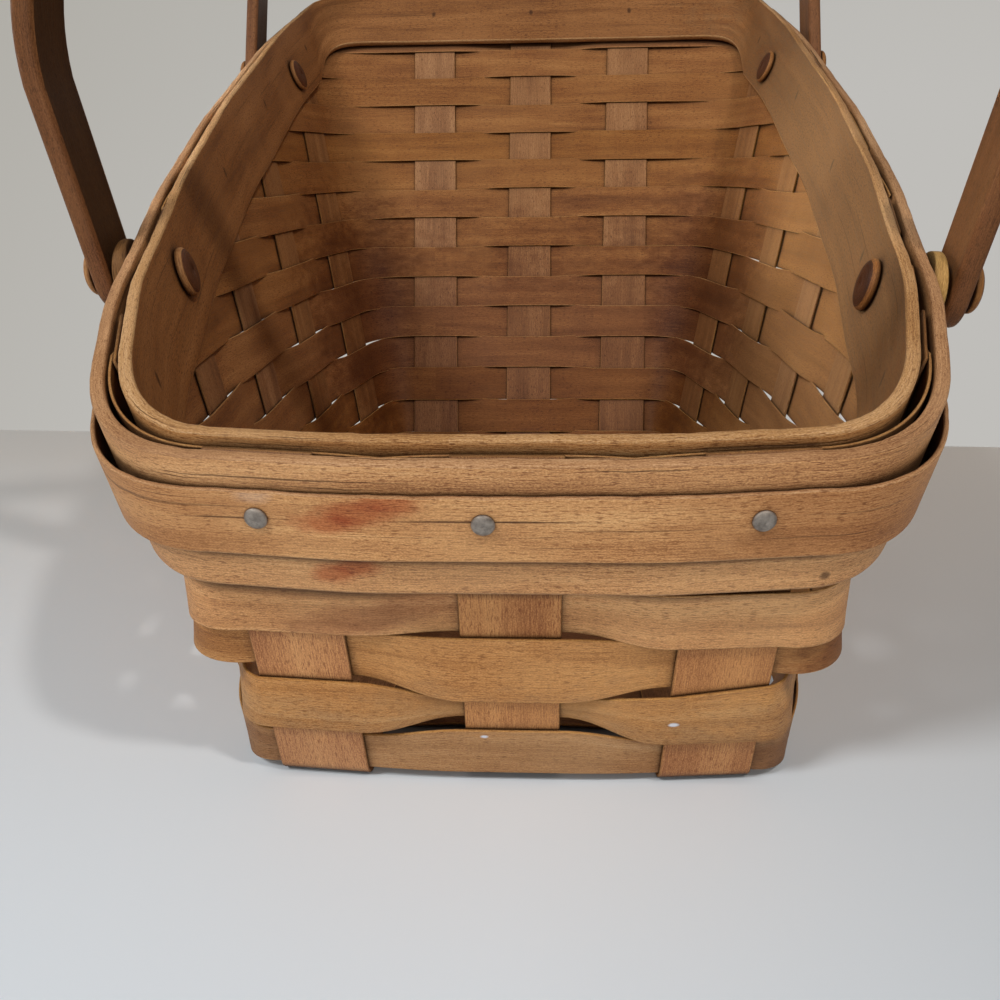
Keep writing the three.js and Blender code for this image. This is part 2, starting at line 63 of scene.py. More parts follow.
# Walls
FRONT_FLARE = 0.214
FRONT_BOW = 0.02
BACK_FLARE = 0.624
SIDE_FLARE = 0.26
SIDE_FLARE_GAIN = 0.024
SIDE_FLARE_BOW = 0.014
FRONT_FAN = 0.027
BACK_FAN = 0.036
SIDE_FAN = 0.27
SIDE_FAN_GAIN = 0.33
FRONT_TURN = math.radians(5)
SIDE_TURN = math.radians(11)
SIDE_FACING = math.radians(-2)
CURVE_PULL = 1.15

# Rim
FRONT_HEIGHT = 104
BACK_HEIGHT = 262
ROW_PITCH = BACK_HEIGHT / ROWS
WEAVER_WIDTH = ROW_PITCH - ROW_GAP
FIRST_ROW = SPLINT_THICKNESS + 2 * FIT
BAND_WIDTH = 35.5
BAND_THICKNESS = 3.6
INNER_RISE = 1.6
BAND_CLEARANCE = 0.3
TRIM_WIDTH = 17.5
TRIM_DROP = 7.3
TRIM_THICKNESS = 1.3
TRIM_STAND_OFF = 1.8
STAKE_TUCK = 1

# Tacks
TACK_HEAD_DIAMETER = 5.4
TACK_HEAD_HEIGHT = 1.2
TACK_SHANK = 1.6
TACK_LENGTH = 3.8
TACK_DROP = 14.2
FRONT_TACK_SHIFT = -5.2

# Handles
HANDLE_WIDTH = 20
HANDLE_THICKNESS = 6.5
HANDLE_LEG = 58
HANDLE_ARCH = 100
FRONT_HANDLE_FLARE = 0.1
BACK_HANDLE_FLARE = 0.03
HANDLE_TOE = 12
FRONT_RIGHT_RIVET_ROW = 7.57
FRONT_LEFT_RIVET_ROW = 7.84
BACK_RIVET_ROW = 12.81
FRONT_LEAN = math.radians(12)
BACK_LEAN = math.radians(-30)

# Rivets and washers
RIVET_DIAMETER = 8
RIVET_HEAD_DIAMETER = 16
RIVET_HEAD_HEIGHT = 3.2
WASHER_DIAMETER = 21
WASHER_THICKNESS = 5
FRONT_RIVET_DROP = 12
BACK_RIVET_DROP = 18
RUNNING_FIT = 0.35
SEAT_FIT = 0.6

# Steps along the smooth curves of the visible pieces, and along the plain ones that place the rivets
FINE = {"flat": 6, "gap": 12, "corner": 22}
PLAIN = {"flat": 1, "gap": 3, "corner": 5}
ROUND_SIDES = 40

rng = random.Random(11)


# Meshes

def make_piece(name, parts, materials, node, body):
    """One object from (points, faces, uvs, face slots) parts, standing for a CAD node."""
    points, faces, uvs, slots = [], [], [], []
    for part_points, part_faces, part_uvs, part_slots in parts:
        start = len(points)
        points += [tuple(p) for p in np.asarray(part_points) * MM]
        faces += [[start + i for i in face] for face in part_faces]
        uvs += part_uvs
        slots += part_slots
    mesh = bpy.data.meshes.new(name)
    mesh.from_pydata(points, [], faces)
    layer = mesh.uv_layers.new(name="grain")
    shift = (rng.uniform(0, 9), rng.uniform(0, 9))
    flat = np.array([corner for face in uvs for corner in face]) * MM + np.array(shift)
    layer.data.foreach_set("uv", flat.ravel())
    mesh.polygons.foreach_set("material_index", slots)
    tint = mesh.attributes.new("tint", "FLOAT", "POINT")
    tint.data.foreach_set("value", [rng.random()] * len(points))
    if body == "basket":
        depth = mesh.attributes.new("rim_depth", "FLOAT", "POINT")
        depth.data.foreach_set("value", rim_depths(np.array(points) / MM))
    for material in materials:
        mesh.materials.append(material)
    mesh.shade_smooth()
    mesh.validate()
    piece = bpy.data.objects.new(name, mesh)
    bpy.context.scene.collection.objects.link(piece)
    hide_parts(node)
    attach(piece, body)
    return piece


def skin(sections, closed, along, across, segment_slots):
    """Skins a row of closed outlines. The grain runs from section to section."""
    sections = np.asarray(sections)
    count, sides = sections.shape[:2]
    faces, uvs, slots = [], [], []
    for i in range(count if closed else count - 1):
        near, far = i * sides, ((i + 1) % count) * sides
        for j in range(sides):
            k = (j + 1) % sides
            faces.append([near + j, near + k, far + k, far + j])
            low, high = across[j], across[j + 1]
            uvs.append([(along[i], low), (along[i], high), (along[i + 1], high), (along[i + 1], low)])
            slots.append(segment_slots[j])
    if not closed:
        last = (count - 1) * sides
        faces.append(list(range(sides))[::-1])
        uvs.append([(along[0], across[j]) for j in range(sides)][::-1])
        faces.append([last + j for j in range(sides)])
        uvs.append([(along[count - 1], across[j]) for j in range(sides)])
        slots += [EDGE, EDGE]
    points = sections.reshape(-1, 3)
    if signed_volume(points, faces) < 0:
        faces = [face[::-1] for face in faces]
        uvs = [face[::-1] for face in uvs]
    return points, faces, uvs, slots


def signed_volume(points, faces):
    total = 0.0
    middle = points.mean(axis=0)
    for face in faces:
        a, b, c = (points[face[i]] - middle for i in (0, 1, 2))
        total += np.dot(a, np.cross(b, c))
    return total


# Material slots of a strip's faces
OUTSIDE, EDGE, INSIDE = 0, 1, 2
# Distance of a strip's first inner line from its eased edge, and the share of the easing at its corner
SUPPORT = 0.5
CORNER_SHARE = 0.3
# Radius of a turned piece at its axis
TIP = 0.01


def strip_profile(thickness, ease):
    """Outline of a thin strip with eased edges: shares of the width, insets from it, depths, slots."""
    half = thickness / 2
    face = [(0, ease), (0, ease + SUPPORT), (0.2, 0), (0.4, 0), (0.6, 0), (0.8, 0),
            (1, -ease - SUPPORT), (1, -ease)]
    corner = ease * CORNER_SHARE
    edge = [(1, -corner, half - corner), (1, 0, half - ease)]
    edge += [(share, inset, -depth) for share, inset, depth in reversed(edge)]
    outline = [(share, inset, half) for share, inset in face] + edge
    outline += [(share, inset, -half) for share, inset in reversed(face)]
    outline += [(1 - share, -inset, depth) for share, inset, depth in reversed(edge)]
    flat = len(face) - 1
    turn = len(edge) + 1
    slots = [OUTSIDE] * flat + [EDGE] * turn + [INSIDE] * flat + [EDGE] * turn
    return np.array(outline), slots


def ribbon(base, up, normal, width, thickness, ease, closed, crown=0.0):
    """A strip from its lower edge, its unit direction across and its outward normal at each section."""
    outline, slots = strip_profile(thickness, ease)
    share, inset, depth = outline.T
    width = np.broadcast_to(np.asarray(width, float), (len(base),))
    across = share[None, :] * width[:, None] + inset[None, :]
    swell = crown * (1 - (2 * share - 1) ** 2)
    out = depth[None, :] + swell[None, :] * np.ones((len(base), 1))
    sections = base[:, None, :] + across[..., None] * up[:, None, :] + out[..., None] * normal[:, None, :]
    middle = base + up * (width / 2)[:, None]
    steps = np.linalg.norm(np.diff(np.vstack([middle, middle[:1]]), axis=0), axis=1)
    along = np.concatenate([[0], np.cumsum(steps)])
    typical = share * width.max() + inset
    sides = np.hypot(np.diff(np.append(typical, typical[0])), np.diff(np.append(depth, depth[0])))
    rounds = np.concatenate([[0], np.cumsum(sides)])
    return skin(sections, closed, along, rounds, slots)


# Radius at which the grain of a turned piece is measured
GRAIN_RADIUS = 4


def turned(profile, point, direction, slots=None, sides=ROUND_SIDES, bend=None):
    """Turns (radius, height) pairs about a line. bend may move each point, given its place and height."""
    turn = Vector((0, 0, 1)).rotation_difference(Vector(direction)).to_matrix()
    rings = []
    for radius, height in profile:
        ring = []
        for step in range(sides):
            angle = 2 * math.pi * step / sides
            place = turn @ Vector((radius * math.cos(angle), radius * math.sin(angle), height))
            ring.append(np.array(place) + point)
        rings.append(ring)
    if bend:
        rings = [[bend(p, height) for p in ring] for ring, (_, height) in zip(rings, profile)]
    sections = np.array(rings).transpose(1, 0, 2)
    along = [2 * math.pi * GRAIN_RADIUS * i / sides for i in range(sides + 1)]
    lengths = [0]
    for (r0, h0), (r1, h1) in zip(profile, profile[1:] + profile[:1]):
        lengths.append(lengths[-1] + math.hypot(r1 - r0, h1 - h0))
    return skin(sections, True, along, lengths, slots or [OUTSIDE] * len(profile))


# Stakes and the wall

def unit(v):
    return v / np.linalg.norm(v, axis=-1, keepdims=True)


class Stake:
    """A straight stake that leans out from its foot and faces at an angle."""

    def __init__(self, x, y, lean_x, lean_y, angle):
        self.foot = np.array([x, y], float)
        self.lean = np.array([lean_x, lean_y], float)
        self.tangent = np.array([math.cos(angle), math.sin(angle)])
        self.outward = np.array([self.tangent[1], -self.tangent[0]])
        self.half_width = SPLINT_WIDTH / 2 * math.hypot(1, self.lean @ self.tangent)
        self.slant = math.hypot(1, self.lean @ self.outward)
        self.weave = (SPLINT_THICKNESS + WEAVER_THICKNESS) / 2 * self.slant + FIT

    def level(self, z, along, out):
        place = self.foot + self.lean * z + self.tangent * along + self.outward * out
        return np.array([place[0], place[1], z])

    def rim_height(self, along, tuck):
        """Height at which a line up the stake meets the rim plane, less a tuck."""
        y = self.foot[1] + self.tangent[1] * along
        return (RIM_AT_ORIGIN - tuck + RIM_SLOPE * y) / (1 - RIM_SLOPE * self.lean[1])


def side_stake(index, side):
    middle = (SIDE_STAKE_COUNT - 1) / 2
    u = (index - middle) / middle
    x = FLOOR_HALF_WIDTH - FLOOR_BOW * u * u - FLOOR_TAPER * u
    flare = SIDE_FLARE + SIDE_FLARE_GAIN * u - SIDE_FLARE_BOW * u * u
    fan = SIDE_FAN + SIDE_FAN_GAIN * u
    turn = SIDE_FACING + SIDE_TURN * (2 * u + u ** 3) / 3
    y = (index - middle) * SIDE_STAKE_SPACING
    return Stake(side * x, y, side * flare, fan, side * (math.pi / 2 + turn))


def end_stake(column, back):
    x = column * END_STAKE_SPACING
    if back:
        return Stake(x, FLOOR_LENGTH / 2, column * BACK_FAN, BACK_FLARE, math.pi)
    flare = FRONT_FLARE + FRONT_BOW * (1 - abs(column))
    return Stake(x, -FLOOR_LENGTH / 2, column * FRONT_FAN, -flare, column * FRONT_TURN)


COLUMNS = (-1, 0, 1)
CROSSINGS = range(SIDE_STAKE_COUNT)
front = [end_stake(column, False) for column in COLUMNS]
back = [end_stake(column, True) for column in COLUMNS]
right = [side_stake(index, 1) for index in CROSSINGS]
left = [side_stake(index, -1) for index in CROSSINGS]
ring = [front[1], front[2], *right, back[2], back[1], back[0], *left[::-1], front[0]]
FRONT_CENTRE, FRONT_RIGHT, SIDE_RIGHT, SIDE_LEFT, FRONT_LEFT = 0, 1, 2, 14, 15


class WallPath:
    """The path of a strip round the wall at one height, with an offset at each stake."""

    def __init__(self, z, offset_at, steps):
        places, normals, stakes, flats, shares, bulges = [], [], [], [], [], []
        for i, stake in enumerate(ring):
            following = ring[(i + 1) % len(ring)]
            corner = abs(stake.tangent @ following.tangent) < math.sqrt(0.5)
            out = offset_at(i) * stake.weave
            for step in range(steps["flat"]):
                along = stake.half_width * (2 * step / steps["flat"] - 1)
                places.append(stake.level(z, along, out)[:2])
                normals.append(stake.outward)
                stakes.append(i)
                flats.append(step / steps["flat"])
                shares.append(0)
                bulges.append(0)
            start = stake.level(z, stake.half_width, out)[:2]
            end = following.level(z, -following.half_width, offset_at(i + 1) * following.weave)[:2]
            pull = np.linalg.norm(end - start) * CURVE_PULL
            count = steps["corner"] if corner else steps["gap"]
            for step in range(count):
                t = step / count
                place = start * (2 * t ** 3 - 3 * t ** 2 + 1) + end * (3 * t ** 2 - 2 * t ** 3)
                place = place + stake.tangent * pull * (t ** 3 - 2 * t ** 2 + t)
                place = place + following.tangent * pull * (t ** 3 - t ** 2)
                slope = (end - start) * (6 * t - 6 * t ** 2)
                slope = slope + stake.tangent * pull * (3 * t ** 2 - 4 * t + 1)
                slope = unit(slope + following.tangent * pull * (3 * t ** 2 - 2 * t))
                places.append(place)
                normals.append(np.array([slope[1], -slope[0]]))
                stakes.append(i)
                flats.append(1)
                shares.append(t)
                bulges.append(math.sin(math.pi * t) if corner and place[1] < 0 else 0)
        self.places, self.normals = np.array(places), np.array(normals)
        self.stakes, self.bulges = np.array(stakes), np.array(bulges)
        self.flats, self.shares = np.array(flats), np.array(shares)

    def spread(self, values, rises):
        """A value at each stake, rising across the stake and eased from one stake to the next."""
        starts, ends = np.array(values) - np.array(rises) / 2, np.array(values) + np.array(rises) / 2
        ease = self.shares ** 2 * (3 - 2 * self.shares)
        here = starts[self.stakes] * (1 - self.flats) + ends[self.stakes] * self.flats
        return here * (1 - ease) + starts[(self.stakes + 1) % len(ring)] * ease


# The slanting rim plane
front_top_y = -FLOOR_LENGTH / 2 - FRONT_FLARE * FRONT_HEIGHT
back_top_y = FLOOR_LENGTH / 2 + BACK_FLARE * BACK_HEIGHT
RIM_SLOPE = (BACK_HEIGHT - FRONT_HEIGHT) / (back_top_y - front_top_y)
RIM_AT_ORIGIN = FRONT_HEIGHT - RIM_SLOPE * front_top_y
rim_normal = unit(np.array([0, -RIM_SLOPE, 1]))


class Rim:
    """Where the middle of the wall meets the rim plane, with the ways out of the wall and down it."""

    def __init__(self, steps):
        foot = WallPath(0, lambda i: 0, steps)
        top = WallPath(BACK_HEIGHT, lambda i: 0, steps)
        lean = (top.places - foot.places) / BACK_HEIGHT
        lean = np.column_stack([lean, np.ones(len(lean))])
        z = (RIM_AT_ORIGIN + RIM_SLOPE * foot.places[:, 1]) / (1 - RIM_SLOPE * lean[:, 1])
        self.places = np.column_stack([foot.places, np.zeros(len(lean))]) + lean * z[:, None]
        share = (z / BACK_HEIGHT)[:, None]
        facing = foot.normals * (1 - share) + top.normals * share
        sideways = np.column_stack([-facing[:, 1], facing[:, 0], np.zeros(len(lean))])
        self.out = unit(np.cross(sideways, lean))
        self.along = unit(np.cross(rim_normal, self.out))
        down = -unit(lean)
        self.down = down / np.sqrt(1 - (down * self.along).sum(axis=1) ** 2)[:, None]
        self.bulges = foot.bulges
        self.path = foot


rim = Rim(FINE)
plain_rim = Rim(PLAIN)


def rim_depths(points):
    """How far each point lies down the wall from the rim line."""
    steep = unit(rim.down)
    depths = []
    for point in points:
        away = point - rim.places
        depth = (away * steep).sum(axis=1)
        miss = np.linalg.norm(away - depth[:, None] * steep, axis=1)
        depths.append(depth[miss.argmin()])
    return depths


BAND_FACE = max(stake.weave + WEAVER_THICKNESS / 2 * stake.slant for stake in ring) + BAND_CLEARANCE
OUTER_FACE = BAND_FACE + BAND_THICKNESS
TRIM_FACE = OUTER_FACE + FIT + TRIM_THICKNESS


# Pivot lines of the handles

def rivet_place(row, drop):
    z = FIRST_ROW + row * ROW_PITCH
    middle = plain_rim.places + plain_rim.down * drop
    for i in range(len(middle) - 1):
        if middle[i][0] > 0 and middle[i][2] <= z < middle[i + 1][2]:
            t = (z - middle[i][2]) / (middle[i + 1][2] - middle[i][2])
            point = middle[i] * (1 - t) + middle[i + 1] * t
            return point, unit(plain_rim.out[i] * (1 - t) + plain_rim.out[i + 1] * t)
    raise ValueError("no rim there")


class Pivot:
    """The line that a handle swings on, and where its rivets, washers and legs sit along it."""

    def __init__(self, end, right_row, left_row, drop, flare, lean):
        self.end, self.flare, self.lean = end, flare, lean
        flip = np.array([-1, 1, 1])
        ends = [rivet_place(right_row, drop), [v * flip for v in rivet_place(left_row, drop)]]
        (right_point, _), (left_point, _) = ends
        self.middle = (right_point + left_point) / 2
        self.axis = unit(right_point - left_point)
        self.sides = []
        for name, sign, (point, out) in zip(("right", "left"), (1, -1), ends):
            outward = self.axis * sign
            reach = np.linalg.norm(point - self.middle)
            tilt = out @ outward
            self.sides.append({
                "name": name, "point": point, "out": out, "outward": outward,
                "inner": reach - (OUTER_FACE + SEAT_FIT) / tilt,
                "outer": reach + (TRIM_FACE + SEAT_FIT) / tilt,
            })
        self.washer_face = max(side["outer"] for side in self.sides) + WASHER_THICKNESS
        self.leg_face = self.washer_face + self.gap(WASHER_DIAMETER)
        self.head_face = self.leg_face + HANDLE_THICKNESS + self.gap(RIVET_HEAD_DIAMETER)

    def gap(self, diameter):
        """Room for the slope of a leg across a round face."""
        return FIT + self.flare * diameter / 2

    def at(self, side, length):
        return self.middle + side["outward"] * length

    def matrix(self):
        turn = Vector((1, 0, 0)).rotation_difference(Vector(self.axis))
        return (Matrix.Translation(Vector(self.middle)) @ turn.to_matrix().to_4x4()
                @ Matrix.Rotation(self.lean, 4, "X"))


front_pivot = Pivot("front", FRONT_RIGHT_RIVET_ROW, FRONT_LEFT_RIVET_ROW,
                    FRONT_RIVET_DROP, FRONT_HANDLE_FLARE, FRONT_LEAN)
back_pivot = Pivot("back", BACK_RIVET_ROW, BACK_RIVET_ROW,
                   BACK_RIVET_DROP, BACK_HANDLE_FLARE, BACK_LEAN)


# Places of the tacks, one at each stake that has no rivet beside it

def tack_places():
    rivets = [side["point"] for pivot in (front_pivot, back_pivot) for side in pivot.sides]
    reach = (WASHER_DIAMETER + TACK_HEAD_DIAMETER) / 2 + FIT
    for i in range(len(ring)):
        here = [k for k in range(len(rim.places)) if rim.path.stakes[k] == i]
        k = here[FINE["flat"] // 2]
        point = rim.places[k] + rim.down[k] * TACK_DROP
        if i == FRONT_CENTRE:
            point = point + rim.along[k] * FRONT_TACK_SHIFT
        if all(np.linalg.norm(point - place) > reach for place in rivets):
            yield point, rim.out[k]


# Materials

def linear(code):
    """A #rrggbb colour as the linear RGBA that shaders take."""
    parts = [int(code[i:i + 2], 16) / 255 for i in (1, 3, 5)]
    return tuple(c / 12.92 if c <= 0.04045 else ((c + 0.055) / 1.055) ** 2.4 for c in parts) + (1,)


class Shader:
    """A material's node tree with short calls for the nodes used here."""

    def __init__(self, name):
        self.material = bpy.data.materials.new(name)
        self.material.use_nodes = True
        self.tree = self.material.node_tree
        self.surface = self.tree.nodes["Principled BSDF"]

    def add(self, kind, inputs=None, **settings):
        node = self.tree.nodes.new(kind)
        for key, value in settings.items():
            setattr(node, key, value)
        for key, value in (inputs or {}).items():
            self.put(node.inputs[key], value)
        return node

    def put(self, socket, value):
        if isinstance(value, bpy.types.NodeSocket):
            self.tree.links.new(value, socket)
        else:
            socket.default_value = value

    def scaled(self, vector, scale):
        return self.add("ShaderNodeVectorMath", {0: vector, 1: scale}, operation="MULTIPLY").outputs[0]

    def noise(self, vector, scale, detail=4.0, roughness=0.55, distortion=0.0):
        inputs = {"Vector": self.scaled(vector, scale), "Scale": 1.0, "Detail": detail,
                  "Roughness": roughness, "Distortion": distortion}
        return self.add("ShaderNodeTexNoise", inputs).outputs[0]

    def ramp(self, factor, stops):
        node = self.add("ShaderNodeValToRGB", {0: factor})
        elements = node.color_ramp.elements
        while len(elements) < len(stops):
            elements.new(0.5)
        for element, (place, colour) in zip(elements, stops):
            element.position = place
            element.color = colour
        return node.outputs[0]

    def span(self, value, low, high, to_low, to_high):
        inputs = {0: value, 1: low, 2: high, 3: to_low, 4: to_high}
        return self.add("ShaderNodeMapRange", inputs).outputs[0]

    def math(self, operation, a, b):
        return self.add("ShaderNodeMath", {0: a, 1: b}, operation=operation).outputs[0]

    def mix(self, factor, a, b, blend="MIX"):
        node = self.add("ShaderNodeMix", data_type="RGBA", blend_type=blend)
        self.put(node.inputs[0], factor)
        self.put(node.inputs[6], a)
        self.put(node.inputs[7], b)
        return node.outputs[2]

    def spot(self, place, centre, reach, wobble):
        """1 at a centre fading to 0 at a reach, with a ragged edge."""
        away = self.add("ShaderNodeVectorMath", {0: place, 1: centre}, operation="SUBTRACT").outputs[0]
        away = self.add("ShaderNodeVectorMath", {0: away, 1: reach}, operation="DIVIDE").outputs[0]
        length = self.add("ShaderNodeVectorMath", {0: away}, operation="LENGTH").outputs["Value"]
        ragged = self.math("ADD", length, wobble)
        return self.span(ragged, *SPOT_EDGE, 1.0, 0.0)


# Shares of the reach of a stain or painted shade between which it fades
SPOT_EDGE = (0.55, 1.15)
# Colour of the shade painted into crevices and under ledges
PAINTED_SHADE = "#2a1408"
CRACK = "#2a160a"
# Reach of the occlusion that sets where crevice shade is painted
PAINTED_SHADE_REACH = 0.004
# Noise scales along and across the grain, per metre
FIGURE = (9, 110, 1)
LINES = (60, 2200, 1)
FLECKS = (420, 3000, 1)
SPECKLE = (1700, 3400, 1)
CRACKS = (11, 900, 1)
# Noise scales in space, per metre
CLOUDS = (26, 26, 26)
RAGS = (130, 130, 260)
RAGGED = 1.1
# Limits of the noises between which each effect sets in
TONE_STOPS = (0.36, 0.5, 0.64)
FLECKED = (0.55, 0.64)
WORN = (0.38, 0.66)
SPLIT_OPEN = (0.675, 0.70)
SHELTERED = (0.4, 0.88)
# How far the tint of a piece turns its value and saturation
TINT_VALUE = (0.92, 1.08)
TINT_SATURATION = (1.04, 0.96)
FLECK_STRENGTH = 0.9
WORN_STRENGTH = 0.25
GRAIN_BUMP = 0.0004


def wood(name, dark, middle, light, roughness=0.55, coat=0.02, gloss=0.2,
         stains_and_shades=(), cracks=0.0, ledges=(), crevice_shade=0.9):
    """Thin stained wood with shade painted into its corners. The grain runs along the first UV axis, in
    metres.

    A stain or painted shade is (centre, reach, colour, strength, blend). A ledge is (depth below the rim,
    depth under it where its painted shade is full, depth where it ends, strength).
    """
    s = Shader(name)
    uv = s.add("ShaderNodeTexCoord").outputs["UV"]
    place = s.add("ShaderNodeTexCoord").outputs["Object"]
    figure = s.noise(uv, FIGURE, 2.0, 0.5, 0.6)
    lines = s.noise(uv, LINES, 3.0, 0.6)
    flecks = s.noise(uv, FLECKS, 2.0, 0.5)
    speckle = s.noise(uv, SPECKLE, 2.0, 0.6)
    cloud = s.noise(place, CLOUDS, 3.0, 0.55)
    tone = s.math("ADD", s.math("MULTIPLY", figure, 0.3), s.math("MULTIPLY", lines, 0.3))
    tone = s.math("ADD", tone, s.math("MULTIPLY", speckle, 0.4))
    shades = [linear(shade) for shade in (dark, middle, light)]
    colour = s.ramp(tone, list(zip(TONE_STOPS, shades)))
    colour = s.mix(s.span(flecks, *FLECKED, 0.0, FLECK_STRENGTH), colour, linear(dark))
    worn = s.span(cloud, *WORN, 0.0, WORN_STRENGTH)
    colour = s.mix(worn, colour, linear(light))
    tint = s.add("ShaderNodeAttribute", attribute_name="tint").outputs["Fac"]
    hsv = s.add("ShaderNodeHueSaturation", {"Color": colour, "Value": s.span(tint, 0, 1, *TINT_VALUE),
                                            "Saturation": s.span(tint, 0, 1, *TINT_SATURATION)})
    colour = hsv.outputs[0]
    ragged = s.math("SUBTRACT", s.noise(place, RAGS, 4.0, 0.6), 0.5)
    for centre, reach, mark_colour, strength, blend in stains_and_shades:
        spot = s.spot(place, centre, reach, s.math("MULTIPLY", ragged, RAGGED))
        colour = s.mix(s.math("MULTIPLY", spot, strength), colour, linear(mark_colour), blend)
    height = s.math("SUBTRACT", s.math("MULTIPLY", speckle, 0.5), s.math("MULTIPLY", flecks, 0.5))
    if cracks:
        split = s.noise(uv, CRACKS, 2.0, 0.4)
        open_split = s.span(split, *SPLIT_OPEN, 0.0, cracks)
        colour = s.mix(open_split, colour, linear(CRACK))
        height = s.math("SUBTRACT", height, s.math("MULTIPLY", open_split, 0.8))
    # A line of shade painted under each ledge
    for depth, full, fade, strength in ledges:
        below = s.add("ShaderNodeAttribute", attribute_name="rim_depth").outputs["Fac"]
        below = s.math("SUBTRACT", below, depth)
        start = s.span(below, -2.0, -1.0, 0.0, strength)
        line = s.math("MULTIPLY", start, s.span(below, full, fade, 1.0, 0.0))
        colour = s.mix(line, colour, linear(PAINTED_SHADE))
    # Shade painted where ambient occlusion is low, in corners and crevices
    if crevice_shade:
        open_air = s.add("ShaderNodeAmbientOcclusion", {"Distance": PAINTED_SHADE_REACH}, samples=4).outputs["AO"]
        colour = s.mix(s.span(open_air, *SHELTERED, crevice_shade, 0.0), colour, linear(PAINTED_SHADE))
    bump = s.add("ShaderNodeBump", {"Strength": 0.5, "Distance": GRAIN_BUMP, "Height": height})
    s.put(s.surface.inputs["Base Color"], colour)
    s.put(s.surface.inputs["Roughness"], s.span(lines, 0.3, 0.7, roughness - 0.08, roughness + 0.12))
    s.put(s.surface.inputs["Normal"], bump.outputs[0])
    s.surface.inputs["Specular IOR Level"].default_value = gloss
    s.surface.inputs["Coat Weight"].default_value = coat
    s.surface.inputs["Coat Roughness"].default_value = 0.4
    return s.material


STEEL_MOTTLE = (500, 500, 500)
STEEL_STOPS = (0.3, 0.55, 0.8)
STEEL_SHADES = ("#665d55", "#948a80", "#b3aaa0")
STEEL_BUMP = 0.0002


def steel(name):
    """Dull, darkened tack heads."""
    s = Shader(name)
    place = s.add("ShaderNodeTexCoord").outputs["Object"]
    mottle = s.noise(place, STEEL_MOTTLE, 5.0, 0.65)
    colour = s.ramp(mottle, [(stop, linear(shade)) for stop, shade in zip(STEEL_STOPS, STEEL_SHADES)])
    s.put(s.surface.inputs["Base Color"], colour)
    s.surface.inputs["Metallic"].default_value = 0.6
    s.put(s.surface.inputs["Roughness"], s.span(mottle, 0.3, 0.7, 0.45, 0.62))
    bump = s.add("ShaderNodeBump", {"Strength": 0.25, "Distance": STEEL_BUMP, "Height": mottle})
    s.put(s.surface.inputs["Normal"], bump.outputs[0])
    return s.material


# Colours of the stains and marks, and of the painted shade and light
RED_STAIN = "#e1bbae"
BROWN_STAIN = "#c4aeaa"
SPLIT = "#3a2010"
SPECK = "#f4efe8"
# Multiplied in to make the front darker and cooler towards the bottom
LOW_DARKENING = "#e2eaff"
SHADE_IN_FRONT_CORNERS = "#a08a80"
SHADE_ON_FLOOR = "#8c7b72"
# Shade painted towards both ends of the front trim, where less light falls
TRIM_END_SHADE = "#dfd4cc"
STRAW = "#b98d5a"
DUST_AND_LIGHT = "#7d7155"
SHADE_IN_FAR_CORNERS = "#b0948a"
LOW_SHADE = "#d3c7c1"
LEG_SHADE = "#8d8c88"
# Ledges under which a line of shade is painted
UNDER_TRIM = ((TRIM_DROP + TRIM_WIDTH, 1.0, 2.4, 0.65),)
UNDER_OUTER_BAND = ((BAND_WIDTH, 3.2, 6.0, 0.75),)
UNDER_INNER_BAND = ((BAND_WIDTH - INNER_RISE, 0.3, 3.0, 0.6),)
# Shade painted into the recessed front corners of the lower rows, at these centres and strengths
CORNER_REACH = (0.022, 0.02, 0.009)
front_corners = (
    ((0.081, -0.138, 0.042), 0.9), ((-0.081, -0.142, 0.042), 0.3),
    ((0.078, -0.138, 0.008), 0.7), ((-0.075, -0.140, 0.008), 0.5),
)
front_corner_shade = tuple((centre, CORNER_REACH, SHADE_IN_FRONT_CORNERS, strength, "MULTIPLY")
                    for centre, strength in front_corners)
weaver_out = wood("weaver_face", "#8a5630", "#c98d54", "#e6b47a", ledges=UNDER_OUTER_BAND, stains_and_shades=(
    ((-0.046, -0.158, 0.0545), (0.014, 0.02, 0.0040), BROWN_STAIN, 0.55, "MULTIPLY"),
    ((-0.034, -0.158, 0.0580), (0.014, 0.02, 0.0045), BROWN_STAIN, 0.55, "MULTIPLY"),
    ((-0.021, -0.159, 0.0620), (0.013, 0.02, 0.0040), BROWN_STAIN, 0.55, "MULTIPLY"),
    ((-0.0075, -0.147, 0.0172), (0.0013, 0.01, 0.0006), SPECK, 1.0, "MIX"),
    ((0.0425, -0.148, 0.0232), (0.0015, 0.01, 0.0007), SPECK, 1.0, "MIX"),
    ((0.0, -0.14, 0.0), (0.2, 0.1, 0.032), LOW_DARKENING, 1.0, "MULTIPLY"),
) + front_corner_shade)
# Light painted onto the right inside walls, which face the light from the left: paler and yellower
right_painted_light = (((0.125, -0.02, 0.08), (0.06, 0.20, 0.20), STRAW, 0.3, "MIX"),)
shaded_far = (((0.0, 0.19, 0.03), (0.30, 0.10, 0.11), LOW_SHADE, 1.0, "MULTIPLY"),)
# Shade painted into the far inside corners
far_corner_shade = tuple(((x, 0.17, z), (0.034, 0.08, 0.10), SHADE_IN_FAR_CORNERS, 0.6, "MULTIPLY")
                    for x, z in ((-0.1, 0.07), (0.1, 0.10)))
